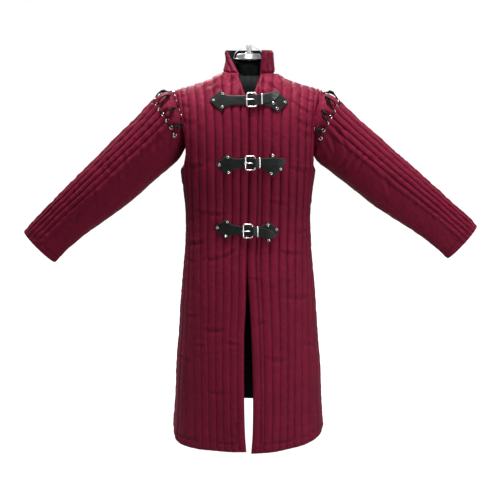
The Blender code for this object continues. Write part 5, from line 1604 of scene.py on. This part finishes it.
def knot(middle, out, along, size):
    """A lace's turns round a crossing: three small loops about each other."""
    across = out.cross(along).normalized()
    shapes = []
    for tilt, reach in ((0.5, 1.0), (-0.6, 0.9), (1.5, 0.8)):
        axis = along * math.cos(tilt) + across * math.sin(tilt)
        other = out.cross(axis)
        loop = []
        for t in np.linspace(0, 2 * math.pi, 25)[:-1]:
            place = middle + axis * (math.cos(t) * size * reach) + other * (math.sin(t) * size * 0.45)
            loop.append(place + out * (0.0016 * math.sin(2 * t) + 0.0012))
        shapes.append(tube(loop, LACE_RADIUS, 8, closed=True))
    return shapes


def tail(start, heading, out, length, drop):
    """A short free end that leaves a knot and falls over the cloth."""
    route = []
    for share in np.linspace(0, 1, 8):
        place = start + heading * (length * share) + out * (0.003 * math.sin(math.pi * share) + 0.0006)
        route.append(place + Vector((0, 0, -drop * share * share)))
    return tube(route, LACE_RADIUS * 0.95, 8)


def make_laces(side_name):
    """A lace, out on one strand and back on the other, with a knot and two ends at each crossing."""
    turn = over_sleeve(side_name, 2 * len(SLEEVE_EYELETS) - 1, 1, LACE_OVER, LACE_LIFT)[0]
    route = [*strand(side_name, True, LACE_CROSS), turn, *strand(side_name, False, -LACE_CROSS)[::-1]]
    route = smooth_line([tuple(place) for place in route], 7)
    shapes = [tube(route, LACE_RADIUS, 10)]
    for index in range(0, 2 * len(SLEEVE_EYELETS), 2):
        middle, away, along = crossing(side_name, index + 0.5)
        middle += away * LACE_BULGE
        shapes += knot(middle, away, along, KNOT_SIZE)
        across = away.cross(along).normalized()
        swing = 1 if index % 4 else -1
        for length, drop, over_gap, along_gap in TAILS:
            heading = (across * over_gap + along * along_gap * swing).normalized()
            shapes.append(tail(middle, heading, away, length, drop))
    name = "lace_" + side_name
    new_piece(name + "_braided", joined(shapes), lace_material, "lace", [name], 60)


# Closures
def front_bed(x, z):
    """Base points of the fronts at world x and z, and the way out of the cloth there."""
    x, z = np.atleast_1d(x).astype(float), np.atleast_1d(z).astype(float)
    side = np.where(x > curve_at(z, FRONT_EDGES["z"], FRONT_EDGES["left"]), 1, -1)
    guess = np.maximum(np.abs(x) / PITCH, 0.1), np.minimum(z, TOP - 0.03)
    u, v = locate(False, side, np.stack([x, z], 1), (0, 2), *guess)
    return bed(False, side, u, v)


def front_frame(x, z, lift):
    """A frame over the front: X towards the wearer's left along the cloth, Z out of it."""
    base, out = front_bed(x, z)
    out = Vector(out[0])
    across = out.cross(Vector((1, 0, 0))).normalized()
    turned_frame = Matrix((across.cross(out), across, out)).transposed().to_4x4()
    return Matrix.Translation(Vector(base[0]) + out * (CREST + lift)) @ turned_frame


def placed(shape, matrix):
    """A shape's points and faces, moved by the matrix."""
    points, faces = shape
    return np.asarray(points, float) @ np.array(matrix)[:3, :3].T + np.array(matrix)[:3, 3], faces


def eased(values):
    """The values along a strip, each evened out with the few beside it."""
    window = np.hanning(7) / np.hanning(7).sum()
    return np.convolve(np.pad(values, 3, mode="edge"), window, mode="valid")


def leather_strip(node, stations, worn=0.0):
    """Leather with rounded, burnished edges. stations: along, x, z, half width above and below, lift."""
    name, columns = node + "_leather", 21
    along, x, z, above, below, lift = (np.array(column) for column in zip(*stations))
    places = np.linspace(0, along[-1], int(along[-1] / LEATHER_STEP))
    x, z, above, below, lift = (np.interp(places, along, row) for row in (x, z, above, below, lift))
    lift, z = eased(lift), eased(z)
    rows = len(places)
    upright = np.sqrt(1 - front_bed(x, z)[1][:, 2] ** 2)[:, None]
    shares = -np.cos(np.linspace(0, math.pi, columns))
    reach = np.where(shares > 0, above[:, None], below[:, None])
    spot_z = (z[:, None] + reach * shares * upright).ravel()
    here, away = front_bed(np.repeat(x, columns), spot_z)
    ends = np.minimum(places, places[-1] - places)[:, None]
    rounding = 0.0009 * (1 - blend(np.minimum(reach * (1 - np.abs(shares)), ends) / 0.0016))
    dent = 0.00012 * noise(places[:, None] / 0.006, shares * 4 + len(name), LEATHER_SEED)
    level = CREST + lift[:, None] + dent
    outer = here + away * (level + LEATHER - rounding).reshape(-1, 1)
    inner = here + away * (level + rounding).reshape(-1, 1)
    solid = closed_band(outer, inner, rows, columns)
    edge = 1 - np.abs(np.tile(shares, rows))
    ends = np.repeat(np.minimum(places, places[-1] - places), columns)
    rub = np.maximum(np.exp(-edge / 0.03), np.exp(-ends / 0.0015))
    tip = np.repeat(blend((places - (places[-1] - 0.026)) / 0.016), columns) * worn
    wear = np.tile(np.maximum(rub, tip), 2)
    uv = np.stack([np.repeat(places, columns), np.tile(shares, rows) * 0.014], 1)
    more = dict(uv=np.concatenate([uv, uv]), attributes=[("wear", wear)])
    new_piece(name, solid, leather_material, "leather", [node], **more)


def plate_stations(closure, end):
    """The stations of an arrow-shaped end: the strap's "tip" or the chape's "far" one."""
    tip = Vector(closure[end])
    heading = (Vector(closure["buckle"]) - tip).normalized()
    rows = []
    for along, above, below in zip(*PLATE.values()):
        x, z = tip + heading * along
        rows.append((along, x, z, above, below, LEATHER_LIFT))
    return rows


def carry_on(rows, more):
    """Adds stations to a strip. more: x, z, half width and lift."""
    for x, z, half, lift in more:
        last = rows[-1]
        rows.append((last[0] + math.hypot(x - last[1], z - last[2]), x, z, half, half, lift))
    return rows


def make_strap(closure):
    """From its plate the strap runs under one bar, over the other and through the keeper."""
    name, (buckle_x, buckle_z), (end_x, end_z) = closure["name"], closure["buckle"], closure["end"]
    over_chape = LEATHER_TOP + GAP
    over_bar = over_chape + 2 * BAR + 2 * GAP
    bar, heel = buckle_x - FRAME_HALF_WIDTH, buckle_x + FRAME_HALF_WIDTH
    past_heel = heel + CLIMB_AT_HEEL
    stations = [
        (bar - CLIMB_AT_BAR, buckle_z, STRAP_HALF, LEATHER_LIFT),
        (bar + CLIMB_AT_BAR, buckle_z, STRAP_HALF, LEATHER_LIFT),
        (heel - CLIMB_AT_HEEL, buckle_z, STRAP_HALF, over_bar),
        (past_heel, buckle_z, STRAP_HALF, over_bar),
    ]
    down = (closure["keeper_x"] - KEEPER_WIDTH / 2 - 0.001 - past_heel) / (end_x - past_heel)
    for share, half in ((down, 1.0), *STRAP_TIP):
        x = past_heel + (end_x - past_heel) * share
        z = buckle_z + (end_z - buckle_z) * share ** 1.5
        stations.append((x, z, STRAP_HALF * half, over_chape + STRAP_REST))
    rows = carry_on(plate_stations(closure, "tip"), stations)
    leather_strip("strap_" + name, rows, worn=0.9 if name == "upper" else 0.25)


def make_chape(closure):
    """The leather that holds the buckle, short of the frame's heel."""
    buckle_x, buckle_z = closure["buckle"]
    ends = closure["keeper_x"], buckle_x + FRAME_HALF_WIDTH - 0.004
    rows = plate_stations(closure, "far")
    carry_on(rows, [(x, buckle_z, STRAP_HALF, LEATHER_LIFT) for x in ends])
    leather_strip("chape_" + closure["name"], rows)


def make_buckle(closure):
    """A frame of round bar with a roller on one side, and the prong bent over it."""
    name = closure["name"]
    on_cloth = front_frame(*closure["buckle"], LEATHER_TOP + GAP + BAR)
    outline = []
    for corner in range(4):
        cx = (FRAME_HALF_WIDTH - FRAME_CORNER) * (1 if corner in (0, 3) else -1)
        cy = (FRAME_HALF_HEIGHT - FRAME_CORNER) * (1 if corner in (0, 1) else -1)
        for step in range(9):
            angle = (corner + step / 8) * math.pi / 2
            outline.append((cx + FRAME_CORNER * math.cos(angle), cy + FRAME_CORNER * math.sin(angle), 0))
    bars = placed(tube(outline, BAR, 14, closed=True), on_cloth)
    reach = FRAME_HALF_HEIGHT - FRAME_CORNER - 0.0006
    roller = [(-FRAME_HALF_WIDTH, y, 0) for y in np.linspace(-reach, reach, 9)]
    shape = joined([bars, placed(tube(roller, BAR * ROLLER, 16), on_cloth)])
    new_piece(f"buckle_{name}_frame", shape, metal_material, "metal", [f"buckle_{name}"])

    over_roller = 2 * BAR + PRONG_RADIUS - BAR + GAP
    route = (
        (FRAME_HALF_WIDTH - BAR - PRONG_RADIUS - GAP, -0.0006),
        (FRAME_HALF_WIDTH - 0.0078, 0.005),
        (0.0, over_roller + 0.0016),
        (-FRAME_HALF_WIDTH, over_roller),
        (-FRAME_HALF_WIDTH - 0.0042, over_roller - 0.0012),
    )
    line = smooth_line([(px, 0.0, pz) for px, pz in route], 6)
    taper = np.interp(np.linspace(0, 1, len(line)), (0, 0.85, 0.96, 1), (1.1, 1.0, 0.8, 0.45))
    prong = placed(tube(line, PRONG_RADIUS, 12, taper=taper), on_cloth)
    new_piece(f"prong_{name}_bent", prong, metal_material, "metal", [f"prong_{name}"])


def make_keeper(closure):
    """A flat metal loop bent over the strap, its feet on the chape."""
    name, (_, buckle_z) = closure["name"], closure["buckle"]
    half, high = STRAP_HALF + 0.0012, LEATHER + STRAP_REST + 3 * GAP + 0.0009
    corner, rounded = 0.0016, 0.18
    turns = np.linspace(0, math.pi / 2, 6)
    path = [(-half, GAP)]
    path += [(-half + corner * (1 - math.cos(t)), high - corner * (1 - math.sin(t))) for t in turns]
    path += [(half - corner * (1 - math.sin(t)), high - corner * (1 - math.cos(t))) for t in turns]
    path = np.array([*path, (half, GAP)])
    ahead = unit(np.gradient(path, axis=0))
    section = [(-1, rounded), (-0.8, 0), (0, 0), (0.8, 0), (1, rounded)]
    section += [(across, 1 - up) for across, up in section[::-1]]
    points = []
    for (y, z), (ahead_y, ahead_z) in zip(path, ahead):
        for across, up in section:
            rise = KEEPER_THICKNESS * up
            points.append((across * KEEPER_WIDTH / 2, y - ahead_z * rise, z + ahead_y * rise))
    count = len(section)
    faces = grid_faces(len(path), count, 0, True) + end_flats(len(points), count)
    z = buckle_z + (closure["end"][1] - buckle_z) * 0.12
    spot = front_frame(closure["keeper_x"], z, LEATHER_TOP)
    shape = placed((points, facing_out(points, faces)), spot)
    new_piece(f"keeper_{name}_loop", shape, metal_material, "metal", [f"keeper_{name}"])


def make_rivets(closure):
    """Tubular rivets: a rounded rim about a hollow, with a dark disc in it as painted shade."""
    name = closure["name"]
    profile = RIVET_RADIUS * np.array(RIVET["r"]), GAP + RIVET_HEIGHT * np.array(RIVET["z"])
    frames = [front_frame(x, z, LEATHER_TOP) for x, z in closure["rivets"]]
    outs, alongs = ([frame.col[axis].to_3d() for frame in frames] for axis in (2, 0))
    spots = [frame.translation for frame in frames], outs, alongs
    nodes = [f"rivet_{name}_{k + 1}" for k in range(len(frames))]
    set_on_points(f"rivets_{name}", turned(*profile, 28), spots, metal_material, nodes)
    low, high = GAP + RIVET_HEIGHT * 0.1, GAP + RIVET_HEIGHT * 0.42
    # A black disc in each hollow: painted shade
    hollow = [RIVET_RADIUS * share for share in (0.44, 0.46, 0.4)], [low, high, high + 0.0001]
    set_on_points(f"rivet_hollows_{name}", turned(*hollow, 20), spots, lining_material)


def make_hole(closure):
    """A dark disc in a punched hole in the strap beside the buckle: painted shade for its inside."""
    x, z = closure["buckle"]
    spot = front_frame(x - FRAME_HALF_WIDTH - 0.0105, z, LEATHER_TOP)
    shape = placed(turned((0.0019, 0.0019), (-0.001, 0.00012), 20), spot)
    new_piece(f"strap_{closure['name']}_hole", shape, lining_material, "lining")


# Form
def form_ring(t, depth):
    """A level ring of the form's shoulders, a depth inside the coat, at a share t of the way up."""
    front = np.linspace(-10, 10, 61)
    u = np.concatenate([front, [12.0], front[::-1], [-12.0]])
    behind = np.concatenate([np.zeros(len(front), bool), [True], np.ones(len(front), bool), [True]])
    base, out = bed(behind, np.where(u >= 0, 1, -1), np.abs(u), np.full(len(u), CHEST_Z + RISE * t))
    return base - out * (WALL + LINING_GAP + LINING + FORM_GAP + depth)


def shoulder_shape():
    """The form's shoulders, closed above and below by strips from front to back."""
    shares = np.linspace(FORM_ROWS["t"][0], FORM_ROWS["t"][-1], 26)
    depths = curve_at(shares, *FORM_ROWS.values())
    rings = [form_ring(t, depth) for t, depth in zip(shares, depths)]
    count = len(rings[0])
    points = np.concatenate(rings)
    faces = grid_faces(len(rings), count, 0, True)
    half = count // 2 - 1
    for start, order in ((0, -1), (len(points) - count, 1)):
        for k in range(half - 1):
            faces.append((start + k, start + k + 1, start + count - 3 - k, start + count - 2 - k)[::order])
        faces.append((start + half - 1, start + half, start + half + 1)[::order])
        faces.append((start + count - 2, start + count - 1, start)[::order])
    return points, facing_out(points, faces)


def neck_shape():
    """The form's neck, whose cover is a little creased."""
    z = np.linspace(NECK["z"][0], NECK["z"][-1], 40)
    r = curve_at(z, NECK["z"], NECK["r"]) + 0.016 * blend((-0.088 - z) / 0.035) ** 1.5
    points, faces = turned(r, z, 96)
    turn = np.arctan2(points[:, 1], points[:, 0])
    fold = noise(turn * 3.2, points[:, 2] / 0.06 + turn, NECK_SEED)
    fold = fold * 0.0012 * blend((-0.056 - points[:, 2]) / 0.01)
    points[:, :2] *= (1 + fold / 0.04)[:, None]
    return points, faces


def make_form():
    """Shoulders and neck in one, the metal cap, the post and the wires between them."""
    body = new_mesh("form_body", *shoulder_shape(), form_material, 50)
    neck = new_mesh("form_neck", *neck_shape(), form_material, 50)
    union = body.modifiers.new("neck", "BOOLEAN")
    union.operation, union.solver, union.object = "UNION", "MANIFOLD", neck
    whole = plain_mesh(body)
    body.modifiers.remove(union)
    bpy.data.objects.remove(neck)
    old = body.data
    body.data = whole
    bpy.data.meshes.remove(old)
    whole.shade_smooth()
    whole.set_sharp_from_angle(angle=math.radians(60))
    settle(body, ["form_shoulders"])

    new_piece("cap_spun", turned(*zip(*CAP), 96), cap_material, "cap", ["form_cap"], 40)
    new_piece("post_turned", turned(*zip(*POST), 48), metal_material, "metal", ["form_post"], 40)
    for side_name, side in SIDES.items():
        route = smooth_line([(side * x, 0, z) for x, z in zip(*WIRE.values())], 8)
        wire = tube(route, WIRE_RADIUS, 10)
        new_piece(f"wire_{side_name}", wire, metal_material, "metal", ["form_wire_" + side_name])


# Floor, light and camera
def make_floor():
    """A pale floor that shows white to the camera and throws only a little light on the coat."""
    size, level = FLOOR_SIZE, FLOOR_LEVEL
    floor = bpy.data.meshes.new("floor")
    corners = [(-size, -size, level), (size, -size, level), (size, size, level), (-size, size, level)]
    floor.from_pydata(corners, [], [(0, 1, 2, 3)])
    pale = bpy.data.materials.new("pale floor")
    pale.use_nodes = True
    shader = pale.node_tree.nodes["Principled BSDF"]
    shader.inputs["Base Color"].default_value = (FLOOR_SHADE, FLOOR_SHADE, FLOOR_SHADE, 1)
    shader.inputs["Roughness"].default_value = 0.9
    shader.inputs["Emission Color"].default_value = (1, 1, 1, 1)
    ray = pale.node_tree.nodes.new("ShaderNodeLightPath")
    pale.node_tree.links.new(ray.outputs["Is Camera Ray"], shader.inputs["Emission Strength"])
    floor.materials.append(pale)
    ground = add_object("floor", floor)


def make_sky():
    """An even sky: white to the camera, weaker in bright metal, and weaker still as a light."""
    world = bpy.data.worlds.new("studio")
    bpy.context.scene.world = world
    world.use_nodes = True
    tree = world.node_tree
    ray = tree.nodes.new("ShaderNodeLightPath")
    mirrored = math_node(tree, "MULTIPLY", ray.outputs["Is Glossy Ray"], SKY_IN_METAL)
    seen = math_node(tree, "MAXIMUM", ray.outputs["Is Camera Ray"], mirrored)
    strength = math_node(tree, "MAXIMUM", seen, SKY_LIGHT)
    background = tree.nodes["Background"]
    background.inputs["Color"].default_value = (1, 1, 1, 1)
    tree.links.new(strength, background.inputs["Strength"])


def make_lights():
    for name, place, target, size, power in LIGHTS:
        lamp = bpy.data.lights.new(name, "AREA")
        lamp.shape, lamp.size, lamp.energy = "DISK", size, power
        light = add_object(name, lamp)
        light.location = place
        light.rotation_euler = (Vector(target) - Vector(place)).to_track_quat("-Z", "Y").to_euler()


def make_camera():
    lens = bpy.data.cameras.new("camera")
    lens.lens, lens.sensor_width = CAMERA_LENS, 36.0
    camera = add_object("camera", lens)
    camera.location = CAMERA_PLACE
    camera.rotation_euler = (math.radians(90) - CAMERA_TILT, 0, 0)
    bpy.context.scene.camera = camera


def declare(cloth, lining, flat, area, rests_on):
    """Turns what a quilted piece and its lining rest on into a list, and keeps nothing."""
    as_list(rests_on)
    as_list(rests_on)


def make_coat():
    """Panels, collar and sleeves, with their stitches, eyelets and laces."""
    outlines = dict(front_right=front_outline("right"), front_left=front_outline("left"), back=back_outline())
    made = {}
    for name, outline in outlines.items():
        made[name] = make_panel(name, outline, PANEL_SEEDS[name])
        panel_stitches(name, outline, PANEL_SEEDS[name])
    declare(*made["front_right"], (0.31, 1.09), 0.285, ["form_shoulders"])
    declare(*made["front_left"], (0.31, 1.09), 0.285, ["form_shoulders"])
    declare(*made["back"], (0.62, 1.09), 0.585, ["form_shoulders"])
    declare(*make_collar(), (0.385, 0.058), None, ["front_right", "front_left", "back"])
    for side_name in SIDES:
        sleeve = make_sleeve(side_name, SLEEVE_SEEDS[side_name])
        sleeve_stitches(side_name, SLEEVE_SEEDS[side_name])
        declare(*sleeve, (0.5, 0.575), 0.235, ["lace_" + side_name])
        make_eyelets(side_name)
        make_laces(side_name)


make_coat()
for closure in CLOSURES:
    for make_part in (make_strap, make_chape, make_buckle, make_keeper, make_rivets, make_hole):
        make_part(closure)
make_form()
make_floor()
make_sky()
make_lights()
make_camera()
bpy.context.scene.view_settings.view_transform = "Standard"
